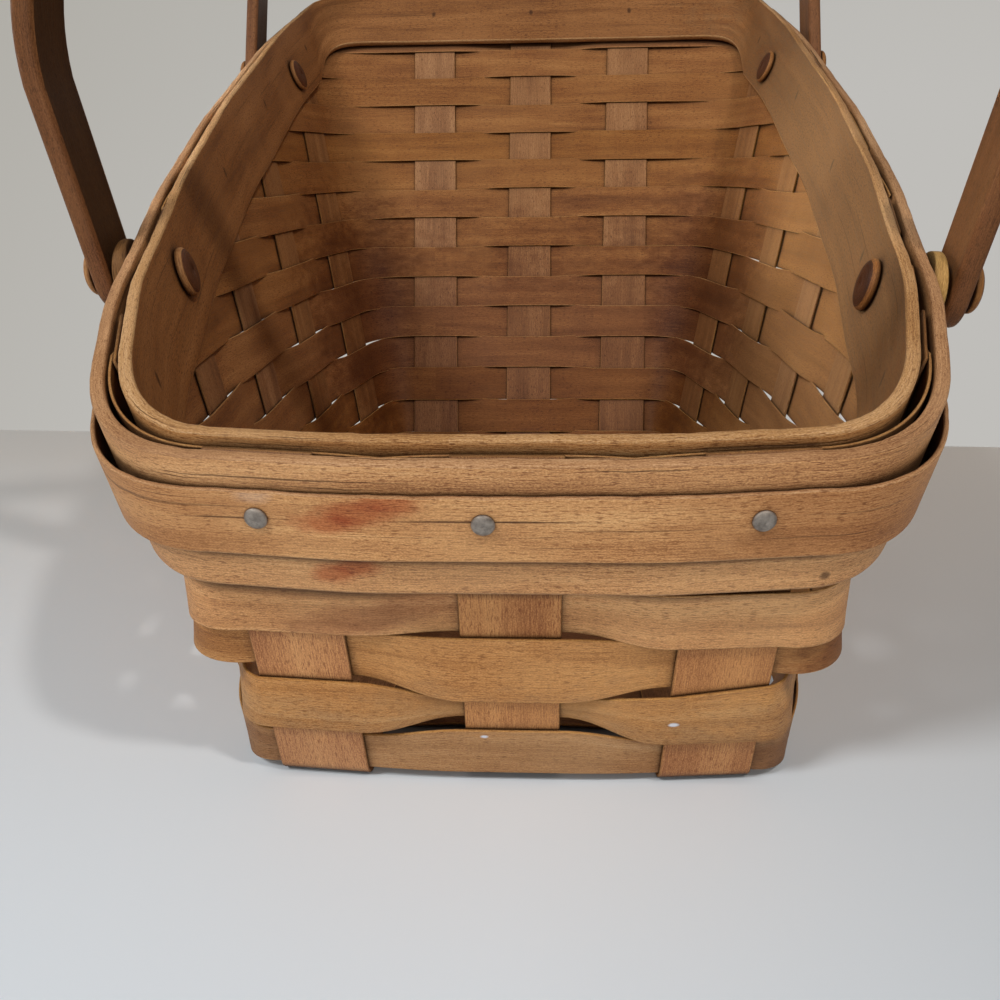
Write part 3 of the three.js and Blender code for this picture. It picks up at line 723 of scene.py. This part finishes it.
# The inside faces are darker than the outside: partly a redder wood, partly painted shade of the inside
weaver_in = wood("weaver_inner_face", "#5f3822", "#966034", "#bc8650", gloss=0.15, ledges=UNDER_INNER_BAND,
                 stains_and_shades=right_painted_light + shaded_far + far_corner_shade)
weaver_edge = wood("weaver_cut_edge", "#8a5a30", "#b58048", "#d6aa70", roughness=0.65, coat=0.0)
splint_out = wood("splint_face", "#8c522e", "#c2844e", "#dca468", ledges=UNDER_OUTER_BAND, stains_and_shades=(
    ((0.0, -0.14, 0.0), (0.2, 0.1, 0.024), LOW_DARKENING, 0.5, "MULTIPLY"),
))
# Shade painted onto the floor inside the basket
shaded_floor = (((0.0, 0.0, 0.0), (0.1, 0.16, 0.012), SHADE_ON_FLOOR, 0.9, "MULTIPLY"),)
# The inside faces are darker than the outside: partly a redder wood, partly painted shade of the inside
splint_in = wood("splint_inner_face", "#643f2a", "#9b6a42", "#c09062", gloss=0.15, ledges=UNDER_INNER_BAND,
                 stains_and_shades=shaded_floor + right_painted_light + shaded_far)
splint_edge = wood("splint_cut_edge", "#6c4425", "#966638", "#b98a54", roughness=0.65, coat=0.0)
band_face = wood("band_face", "#875430", "#c88f58", "#e6b47c", cracks=0.6, ledges=UNDER_TRIM, stains_and_shades=(
    ((-0.0400, -0.159, 0.0735), (0.006, 0.02, 0.0035), RED_STAIN, 1.0, "MULTIPLY"),
    ((-0.0350, -0.159, 0.0760), (0.006, 0.02, 0.0035), RED_STAIN, 1.0, "MULTIPLY"),
    ((0.0730, -0.157, 0.0722), (0.0014, 0.02, 0.0012), SPLIT, 0.7, "MIX"),
))
NAIL_MARK = (0.0013, 0.0013, 0.0030)
nail_marks = tuple((tuple((point - out * OUTER_FACE) * MM), NAIL_MARK, SPLIT, 0.75, "MIX")
                   for point, out in tack_places())
# Greyer inner band on the right: partly dust, partly light painted from the left
right_dust_and_light = (((0.125, 0.02, 0.16), (0.06, 0.30, 0.20), DUST_AND_LIGHT, 0.3, "MIX"),)
# The inner band's inside face is darker: partly a redder wood, partly painted shade of the inside
band_in = wood("band_inner_face", "#5d3721", "#936036", "#b88252", cracks=0.4,
               stains_and_shades=nail_marks + right_dust_and_light)
band_edge = wood("band_cut_edge", "#7f532f", "#b98a58", "#dcb488", roughness=0.7, coat=0.0, cracks=0.9)
outer_edge = wood("outer_cut_edge", "#7b4e2c", "#b08053", "#d2a67a", roughness=0.7, coat=0.0, cracks=0.9)
trim_face = wood("trim_face", "#905a30", "#ca9058", "#e8b57a", cracks=0.4, stains_and_shades=(
    ((-0.0400, -0.1675, 0.0875), (0.008, 0.02, 0.0030), RED_STAIN, 1.0, "MULTIPLY"),
    ((-0.0330, -0.1675, 0.0905), (0.009, 0.02, 0.0035), RED_STAIN, 1.0, "MULTIPLY"),
    ((-0.0255, -0.1675, 0.0930), (0.008, 0.02, 0.0030), RED_STAIN, 1.0, "MULTIPLY"),
    ((-0.0560, -0.1660, 0.0945), (0.005, 0.02, 0.0025), SPECK, 0.14, "MIX"),
    ((0.0850, -0.1600, 0.0900), (0.050, 0.08, 0.0300), TRIM_END_SHADE, 1.0, "MULTIPLY"),
    ((-0.0900, -0.1600, 0.0900), (0.045, 0.08, 0.0300), TRIM_END_SHADE, 0.8, "MULTIPLY"),
    ((-0.0620, -0.1660, 0.0885), (0.012, 0.02, 0.00025), SPLIT, 0.7, "MULTIPLY"),
    ((-0.0035, -0.1675, 0.0885), (0.024, 0.02, 0.00030), SPLIT, 0.8, "MULTIPLY"),
))
shaded_left = (((-0.16, -0.02, 0.22), (0.14, 0.60, 0.60), LEG_SHADE, 1.0, "MULTIPLY"),)
HANDLE_WOOD = ("#4e2d17", "#7a4e2c", "#986a42")
handle_face = wood("handle_face", *HANDLE_WOOD, roughness=0.5, crevice_shade=0.0)
handle_in = wood("handle_inner_face", *HANDLE_WOOD, roughness=0.5, crevice_shade=0.0, stains_and_shades=shaded_left)
handle_side = wood("handle_side", "#4c2c17", "#774a2a", "#95663f", roughness=0.5, crevice_shade=0.0)
rivet_face = wood("rivet_face", "#2e160b", "#502a16", "#6c4024", coat=0.05, gloss=0.25)
rivet_edge = wood("rivet_edge", "#6a3f22", "#9a6638", "#bd8a55")
washer_pale = wood("washer_face", "#8a6030", "#bd9050", "#dcb878", roughness=0.6, coat=0.0)
# A darker copy of the washer wood, with shade painted in for the left front washer
washer_painted_shade = wood("washer_painted_shade_face", "#4a2f18", "#6e4a26", "#8a6238", roughness=0.6, coat=0.0)
tack_metal = steel("tack_steel")


# Splints: one strip down the first stake, across the floor and up the second

FLOOR_LOW = 0.0
FLOOR_HIGH = SPLINT_THICKNESS + FIT
RAMP_START = SPLINT_WIDTH / 2 + 2 * FIT
BEND = 4.5
WALL_STEPS = 14
BEND_STEPS = 6
FLOOR_STEP = 2.5
END_RAMP = 15
SPLINT_EASE = 0.25


def floor_height(s, plateaus):
    """Height of a floor strip's middle plane, eased between the places over and under its neighbours."""
    knots = [(place + side * RAMP_START, z) for place, z in plateaus for side in (-1, 1)]
    places, heights = zip(*knots)
    i = np.searchsorted(places, s)
    if i == 0 or i == len(places):
        end = 0 if i == 0 else -1
        ease = min(abs(s - places[end]) / END_RAMP, 1)
        return heights[end] * (1 - ease * ease * (3 - 2 * ease)) + SPLINT_THICKNESS / 2
    t = (s - places[i - 1]) / (places[i] - places[i - 1])
    t = t * t * (3 - 2 * t)
    return heights[i - 1] * (1 - t) + heights[i] * t + SPLINT_THICKNESS / 2


def splint(name, first, second, plateaus, floor_axis, node):
    edges = []

    def wall(stake, flip, order):
        for step in order:
            q = step / WALL_STEPS
            pair = []
            for side in (-flip, flip):
                along = side * stake.half_width
                z = BEND + q * (stake.rim_height(along, STAKE_TUCK) - BEND)
                pair.append(stake.level(z, along, 0))
            edges.append(pair)

    def bend(stake, flip, order):
        for step in order:
            t = step / BEND_STEPS
            pair = []
            for side in (-flip, flip):
                along = side * stake.half_width
                up = stake.level(BEND, along, 0)
                corner = stake.level(SPLINT_THICKNESS / 2, along, 0)
                inward = corner - np.append(stake.outward * BEND, 0)
                pair.append(up * (1 - t) ** 2 + corner * 2 * t * (1 - t) + inward * t * t)
            edges.append(pair)

    wall(first, 1, range(WALL_STEPS, 0, -1))
    bend(first, 1, range(0, BEND_STEPS + 1))
    start = edges[-1][0][floor_axis] + edges[-1][1][floor_axis]
    bend(second, -1, range(BEND_STEPS, -1, -1))
    count = BEND_STEPS + 1
    tail = edges[-count:]
    del edges[-count:]
    end = tail[0][0][floor_axis] + tail[0][1][floor_axis]
    start_pair, end_pair = edges[-1], tail[0]
    steps = int(abs(end - start) / 2 / FLOOR_STEP)
    for step in range(1, steps):
        t = step / steps
        pair = [a * (1 - t) + b * t for a, b in zip(start_pair, end_pair)]
        for point in pair:
            point[2] = floor_height(point[floor_axis], plateaus)
        edges.append(pair)
    edges += tail
    wall(second, -1, range(1, WALL_STEPS + 1))
    pairs = np.array(edges)
    base, far = pairs[:, 0], pairs[:, 1]
    width = np.linalg.norm(far - base, axis=1)
    up = (far - base) / width[:, None]
    along = np.gradient((base + far) / 2, axis=0)
    normal = unit(np.cross(up, along))
    if normal[0] @ np.append(first.outward, 0) < 0:
        normal = -normal
    part = ribbon(base, up, normal, width, SPLINT_THICKNESS, SPLINT_EASE, False)
    make_piece(name, [part], [splint_out, splint_edge, splint_in], node, "basket")


def alternating(places, high_first):
    heights = (FLOOR_HIGH, FLOOR_LOW) if high_first else (FLOOR_LOW, FLOOR_HIGH)
    return [(place, heights[i % 2]) for i, place in enumerate(places)]


for column, side in zip(COLUMNS, ("left", "centre", "right")):
    plateaus = alternating([stake.foot[1] for stake in right], column != 0)
    splint(f"stake_strip_{side}", front[column + 1], back[column + 1], plateaus, 1, f"long_splint_{side}")
for index in CROSSINGS:
    plateaus = alternating([stake.foot[0] for stake in front], index % 2 == 1)
    splint(f"cross_strip_{index + 1}", left[index], right[index], plateaus, 0, f"cross_splint_{index + 1}")


# Weavers. A strip looks widest where it lies over a stake and covers its neighbours, and narrow behind one.

OVER_SPREAD = 1.0
UNDER_SPREAD = 0.2
EDGE_JITTER = 0.5
OVER_LIFT = 1.08
WEAVER_EASE = 0.24
LEAST_WIDTH = 1
CROWNS = (-0.12, 0.2)
# Lower and upper edges of the rows seen on the front, at the stakes from left to right
FRONT_STAKES = (SIDE_LEFT, FRONT_LEFT, FRONT_CENTRE, FRONT_RIGHT, SIDE_RIGHT)
FRONT_ROWS = (
    (None, (3.4, 15.9), (3.2, 19.4), (3.0, 15.4), None),
    ((18.0, 38.0), (18.5, 36.4), (23.0, 29.5), (15.8, 34.0), (17.5, 39.2)),
    ((41.0, 51.0), (38.9, 53.4), (29.9, 51.4), (36.8, 52.0), (41.0, 51.0)),
    ((51.0, 67.6), (52.2, 66.8), (52.4, 66.5), (48.7, 65.2), (50.0, 68.2)),
    ((69.0, 84.0), (69.5, 84.0), (72.0, 85.0), (68.0, 84.0), (68.5, 84.0)),
    (None, (83.5, 102.4), (83.5, 102.8), (83.5, 102.2), None),
)
FRONT_EDGES = {(row, stake): edges for row, found in enumerate(FRONT_ROWS)
               for stake, edges in zip(FRONT_STAKES, found) if edges}
# Rise of a row from one edge of a stake to the other, round the wall
STAKE_RISE = {(2, FRONT_LEFT): -2.8, (2, FRONT_RIGHT): 4.0}
# Rise of its upper edge beyond that
TOP_RISE = {(1, FRONT_RIGHT): 3.0}
# How far the lowest rows are pushed out at the front corners, at their lower and upper edges
CORNER_PUSH = {0: (2.0, 0.0), 1: (0.2, -4.0), 2: (7.4, 2.0), 3: (3.9, 0.6)}
# How far below the rim the weavers end
SHOWN_TUCK = 1.6
# Hoops start at the back
SEAM_STAKE = 9


def weaver(row):
    over = [(i + row) % 2 == 0 for i in range(len(ring))]
    low_z = FIRST_ROW + row * ROW_PITCH
    high_z = low_z + WEAVER_WIDTH

    def offset(i):
        return OVER_LIFT if over[i % len(ring)] else -1

    low, high = (WallPath(z, offset, FINE) for z in (low_z, high_z))
    for path, push in zip((low, high), CORNER_PUSH.get(row, (0, 0))):
        path.places = path.places + path.normals * (push * path.bulges)[:, None]
    lean = np.column_stack([(high.places - low.places) / WEAVER_WIDTH, np.ones(len(low.places))])
    foot = np.column_stack([low.places, np.zeros(len(low.places))]) - lean * low_z
    foot[:, 2] = 0
    bottoms, tops = [], []
    for i in range(len(ring)):
        spread = OVER_SPREAD if over[i] else UNDER_SPREAD
        usual = (low_z - spread + rng.uniform(-EDGE_JITTER, EDGE_JITTER),
                 high_z + spread + rng.uniform(-EDGE_JITTER, EDGE_JITTER))
        bottom, top = FRONT_EDGES.get((row, i), usual)
        bottoms.append(bottom)
        tops.append(top)
    rises = [STAKE_RISE.get((row, i), 0) for i in range(len(ring))]
    top_rises = [rise + TOP_RISE.get((row, i), 0) for i, rise in enumerate(rises)]
    bottom, top = low.spread(bottoms, rises), low.spread(tops, top_rises)
    cut = (RIM_AT_ORIGIN - SHOWN_TUCK + RIM_SLOPE * foot[:, 1]) / (1 - RIM_SLOPE * lean[:, 1])
    top = np.minimum(top, cut)
    kept = top - bottom > LEAST_WIDTH
    closed = bool(kept.all())
    base = (foot + lean * bottom[:, None])[kept]
    tip = (foot + lean * top[:, None])[kept]
    width = np.linalg.norm(tip - base, axis=1)
    up = (tip - base) / width[:, None]
    ends = (np.roll(base, -1, axis=0), np.roll(base, 1, axis=0))
    along = ends[0] - ends[1] if closed else np.gradient(base, axis=0)
    normal = unit(np.cross(along, up))
    crown = rng.uniform(*CROWNS)
    strip = [base, up, normal, width]
    if closed:
        seam = SEAM_STAKE + row % 2
        start = int(np.flatnonzero(low.stakes == seam)[FINE["flat"] // 2])
        strip = [np.roll(values, -start, axis=0) for values in strip]
    part = ribbon(*strip, WEAVER_THICKNESS, WEAVER_EASE, closed, crown)
    make_piece(f"weave_row_{row + 1:02d}", [part], [weaver_out, weaver_edge, weaver_in],
               f"weaver_row_{row + 1:02d}", "basket")


for row in range(ROWS):
    weaver(row)


# Rim bands and trim

def uneven(count, closed_waves, reach):
    """A gentle random wave round a closed strip."""
    turn = np.linspace(0, 2 * math.pi, count, endpoint=False)
    wave = 0
    for waves in closed_waves:
        height = reach * rng.uniform(0.3, 1)
        wave = wave + height * np.sin(turn * waves + rng.uniform(0, 6.3))
    return wave


EDGE_WAVES = (7, 19, 43, 67, 97, 131)
EDGE_REACH = 0.07
BAND_EASE = 0.7
TRIM_EASE = 0.4


def band(name, inner, outer, drop, width, ease, materials, node, seam, stand_off=0.0):
    middle = (inner + outer) / 2
    bottom = drop + width
    widths = width + uneven(len(rim.places), EDGE_WAVES, EDGE_REACH)
    base = rim.places + rim.down * bottom + rim.out * (middle + stand_off * rim.bulges)[:, None]
    start = int(np.flatnonzero(rim.path.stakes == seam)[0])
    strip = [np.roll(values, -start, axis=0) for values in (base, -rim.down, rim.out, widths)]
    part = ribbon(*strip, outer - inner, ease, True)
    make_piece(name, [part], materials, node, "basket")


band("rim_band_inner", -OUTER_FACE, -BAND_FACE, -INNER_RISE, BAND_WIDTH, BAND_EASE,
     [band_face, band_edge, band_in], "inner_rim_band", FRONT_CENTRE)
band("rim_band_outer", BAND_FACE, OUTER_FACE, 0, BAND_WIDTH, BAND_EASE,
     [band_face, outer_edge, band_face], "outer_rim_band", SEAM_STAKE)
band("rim_trim", OUTER_FACE + FIT, TRIM_FACE, TRIM_DROP, TRIM_WIDTH, TRIM_EASE,
     [trim_face, outer_edge, trim_face], "rim_trim_strip", SEAM_STAKE, TRIM_STAND_OFF)


# Handles

TOE_STEPS = 12
LEG_STEPS = 14
ARCH_STEPS = 72
HANDLE_EASE = 1.7
HANDLE_CROWN = 0.25
TOE_LEAST = 0.6


def handle_line(pivot):
    """Inner outline of a handle as (x, z, half width) about its pivot, from toe to toe."""
    shoulder = pivot.leg_face + pivot.flare * HANDLE_LEG
    half = HANDLE_WIDTH / 2
    toe_centre = half - HANDLE_TOE
    leg = []
    for step in range(TOE_STEPS):
        angle = math.pi / 2 * (1 - step / TOE_STEPS)
        z = toe_centre - half * math.sin(angle)
        leg.append((z, max(half * math.cos(angle), TOE_LEAST)))
    for step in range(LEG_STEPS):
        leg.append((toe_centre + (HANDLE_LEG - toe_centre) * step / LEG_STEPS, half))
    side = [(pivot.leg_face + pivot.flare * z, z, width) for z, width in leg]
    arch = []
    for step in range(ARCH_STEPS + 1):
        angle = math.pi * step / ARCH_STEPS
        arch.append((shoulder * math.cos(angle), HANDLE_LEG + HANDLE_ARCH * math.sin(angle), half))
    return np.array(side + arch + [(-x, z, width) for x, z, width in reversed(side)])


def handle(pivot):
    line = handle_line(pivot)
    x, z, half = line.T
    slope = unit(np.gradient(np.column_stack([x, z]), axis=0))
    out = np.column_stack([slope[:, 1], np.zeros(len(x)), -slope[:, 0]])
    middle = np.column_stack([x, np.zeros(len(x)), z]) + out * HANDLE_THICKNESS / 2
    up = np.tile([0.0, 1.0, 0.0], (len(x), 1))
    base = middle - up * half[:, None]
    part = list(ribbon(base, up, out, 2 * half, HANDLE_THICKNESS, HANDLE_EASE, False, HANDLE_CROWN))
    matrix = np.array(pivot.matrix())
    part[0] = part[0] @ matrix[:3, :3].T + matrix[:3, 3]
    make_piece(f"{pivot.end}_bail", [part], [handle_face, handle_side, handle_in], f"{pivot.end}_handle",
               f"{pivot.end}_handle")


# Rivets and washers

# Outlines of the heads, as shares of their radius and height
RIVET_DOME = ((0.96, 0), (1, 0.12), (1, 0.42), (0.97, 0.56),
              (0.9, 0.72), (0.8, 0.86), (0.66, 0.96), (0.4, 1))
TACK_DOME = ((0.97, 0), (1, 0.2), (0.97, 0.42), (0.85, 0.66), (0.6, 0.88), (0.3, 0.97))
WASHER_EASE = 0.6


def rivet(pivot, side):
    head, height = RIVET_HEAD_DIAMETER / 2, RIVET_HEAD_HEIGHT
    domed = [(TIP, 0)] + [(head * r, height * h) for r, h in RIVET_DOME] + [(TIP, height)]
    slots = [OUTSIDE] + [EDGE] * 4 + [OUTSIDE] * (len(domed) - 5)
    sunk = height / 2
    stem_length = pivot.head_face - side["inner"] + 2 * sunk
    radius = RIVET_DIAMETER / 2
    stem = [(TIP, 0), (radius, 0), (radius, stem_length), (TIP, stem_length)]
    parts = [turned(stem, pivot.at(side, side["inner"] - sunk), side["outward"]),
             turned(domed, pivot.at(side, side["inner"]), -side["out"], slots),
             turned(domed, pivot.at(side, pivot.head_face), side["outward"], slots)]
    name = f"{pivot.end}_{side['name']}"
    make_piece(f"peg_{name}", parts, [rivet_face, rivet_edge], f"rivet_{name}", "basket")


def washer(pivot, side):
    radius, hole, ease = WASHER_DIAMETER / 2, RIVET_DIAMETER / 2 + RUNNING_FIT, WASHER_EASE
    seat = side["point"] + side["out"] * (TRIM_FACE + SEAT_FIT)

    def cut(point, height):
        if height > 0:
            return point
        reach = (side["out"] @ (seat - point)) / (side["out"] @ side["outward"])
        return point + side["outward"] * (reach - height)

    length = WASHER_THICKNESS
    profile = [(hole, 0), (radius - ease, 0), (radius, 0), (radius, length - ease),
               (radius - ease * CORNER_SHARE, length - ease * CORNER_SHARE),
               (radius - ease, length), (hole, length)]
    part = turned(profile, pivot.at(side, pivot.washer_face - length), side["outward"], bend=cut)
    name = f"{pivot.end}_{side['name']}"
    # The left front washer has its shade painted into its colour
    face = washer_painted_shade if name == "front_left" else washer_pale
    make_piece(f"spacer_{name}", [part], [face], f"washer_{name}", "basket")


for pivot in (front_pivot, back_pivot):
    handle(pivot)
    for side in pivot.sides:
        rivet(pivot, side)
        washer(pivot, side)


# Tacks

HEAD_SIDES = 28
SHANK_SIDES = 12
TACK_SEAT = 0.2
TACK_OVERLAP = 0.1


def tack(number, point, out):
    head, height, half = TACK_HEAD_DIAMETER / 2, TACK_HEAD_HEIGHT, TACK_SHANK / 2
    domed = [(TIP, 0)] + [(head * r, height * h) for r, h in TACK_DOME] + [(TIP, height)]
    face = point + out * (TRIM_FACE + FIT * TACK_SEAT)
    shank = [(TIP, -TACK_LENGTH), (half * 0.6, -TACK_LENGTH), (half, -TACK_LENGTH * 0.6),
             (half, TACK_OVERLAP), (TIP, TACK_OVERLAP)]
    parts = [turned(domed, face, out, sides=HEAD_SIDES), turned(shank, face, out, sides=SHANK_SIDES)]
    make_piece(f"tack_{number:02d}", parts, [tack_metal], f"rim_tack_{number:02d}", "basket")


for number, (point, out) in enumerate(tack_places(), 1):
    tack(number, point, out)


# Stage, light and camera

TABLE_NEAR = -2.6
TABLE_FAR = 0.194
TABLE_REACH = 2.2
TABLE_SLANT = 0.0576
# Light and shade painted on the table: near and far tones, each from left to right, and where they change
NEAR_LIGHT_AND_SHADE = ("#e3ebf3", "#b6bcc2")
FAR_LIGHT_AND_SHADE = ("#d6d3cf", "#f0eae4")
LIGHT_AND_SHADE_ACROSS = (0.0, 0.3)
LIGHT_AND_SHADE_ALONG = (-0.22, 0.16)
# The shade under the basket, the place of its middle and the half widths between which it fades
UNDER_BASKET = "#38322c"
UNDER_MIDDLE = -0.015
UNDER_ACROSS = (0.06, 0.072)
UNDER_ALONG = (0.115, 0.128)
UNDER_STRENGTH = 0.85


def table_top():
    """A pale table whose far edge shows behind the basket, with light and shade painted on it."""
    mesh = bpy.data.meshes.new("table")
    near, reach = TABLE_NEAR, TABLE_REACH
    corners = [(-reach, near, 0), (reach, near, 0)]
    corners += [(x, TABLE_FAR - TABLE_SLANT * x, 0) for x in (reach, -reach)]
    mesh.from_pydata(corners, [], [(0, 1, 2, 3)])
    table = bpy.data.objects.new("table", mesh)
    bpy.context.scene.collection.objects.link(table)
    s = Shader("table_painted_light")
    place = s.add("ShaderNodeTexCoord").outputs["Object"]
    cloud = s.noise(place, (3, 3, 3), 3.0)
    axes = s.add("ShaderNodeSeparateXYZ", {0: place}).outputs
    right = s.span(axes["X"], *LIGHT_AND_SHADE_ACROSS, 0.0, 1.0)
    near_shading, far_shading = (s.mix(right, linear(a), linear(b)) for a, b in (NEAR_LIGHT_AND_SHADE, FAR_LIGHT_AND_SHADE))
    colour = s.mix(s.span(axes["Y"], *LIGHT_AND_SHADE_ALONG, 0.0, 1.0), near_shading, far_shading)
    aside = s.math("ABSOLUTE", axes["X"], 0)
    along = s.math("ABSOLUTE", s.math("ADD", axes["Y"], -UNDER_MIDDLE), 0)
    across = s.span(aside, *UNDER_ACROSS, UNDER_STRENGTH, 0.0)
    under = s.math("MULTIPLY", across, s.span(along, *UNDER_ALONG, 1.0, 0.0))
    colour = s.mix(under, colour, linear(UNDER_BASKET))
    s.put(s.surface.inputs["Base Color"], colour)
    s.put(s.surface.inputs["Roughness"], s.span(cloud, 0.3, 0.7, 0.5, 0.65))
    mesh.materials.append(s.material)


def area_light(name, place, target, size, power, colour, spread=180):
    data = bpy.data.lights.new(name, "AREA")
    data.shape = "DISK"
    data.spread = math.radians(spread)
    data.size = size
    data.energy = power
    data.color = colour
    light = bpy.data.objects.new(name, data)
    light.location = place
    light.rotation_euler = (Vector(target) - Vector(place)).to_track_quat("-Z", "Y").to_euler()
    bpy.context.scene.collection.objects.link(light)


# The way to the palest wall, and where the middle shade lies
WALL_FACING = (0.32, 1.0, -0.8)
WALL_STOP = 0.6
WALL_SHADES = ("#6a6967", "#b0ada6", "#bfbdb9")


def world_light():
    """Pale walls behind the basket and a darker room above and in front of it."""
    world = bpy.data.worlds.new("room")
    world.use_nodes = True
    nodes, links = world.node_tree.nodes, world.node_tree.links
    facing = nodes.new("ShaderNodeVectorMath")
    facing.operation = "DOT_PRODUCT"
    facing.inputs[1].default_value = WALL_FACING
    links.new(nodes.new("ShaderNodeTexCoord").outputs["Generated"], facing.inputs[0])
    ramp = nodes.new("ShaderNodeValToRGB")
    stops = ramp.color_ramp.elements
    stops.new(WALL_STOP)
    for stop, shade in zip(stops, WALL_SHADES):
        stop.color = linear(shade)
    links.new(facing.outputs["Value"], ramp.inputs[0])
    links.new(ramp.outputs[0], nodes["Background"].inputs["Color"])
    bpy.context.scene.world = world


def camera(place, pitch, yaw, roll, lens):
    level = math.cos(pitch)
    ahead = Vector((math.sin(yaw) * level, math.cos(yaw) * level, -math.sin(pitch)))
    right_hand = Vector((math.cos(yaw), -math.sin(yaw), 0))
    up = right_hand.cross(ahead)
    x_axis = right_hand * math.cos(roll) + up * math.sin(roll)
    y_axis = up * math.cos(roll) - right_hand * math.sin(roll)
    data = bpy.data.cameras.new("camera")
    data.sensor_width = 36
    data.lens = lens
    data.clip_start = 0.01
    seen = bpy.data.objects.new("camera", data)
    turn = Matrix((x_axis, y_axis, -ahead)).transposed().to_4x4()
    seen.matrix_world = Matrix.Translation(Vector(place)) @ turn
    bpy.context.scene.collection.objects.link(seen)
    bpy.context.scene.camera = seen


table_top()
world_light()
BASKET = (0, -0.05, 0.08)
area_light("left_lamp", (-0.8, -0.8, 1.15), BASKET, 0.35, 10.8, (0.97, 0.99, 1.0))
area_light("right_lamp", (0.55, -0.67, 1.15), BASKET, 0.1, 4.8, (1.0, 0.95, 0.9))
area_light("front_fill", (0.1, -1.3, 0.55), BASKET, 0.9, 3.6, (1.0, 0.98, 0.95))
area_light("left_bounce", (-0.9, 0.1, 0.5), (0.14, 0.05, 0.16), 0.25, 0.14, (0.95, 0.98, 1.0), 20)
bpy.context.scene.view_settings.view_transform = "Standard"
camera((0.0074, -0.3518, 0.1615), pitch=0.355, yaw=-0.0481, roll=-0.0127, lens=32.4)
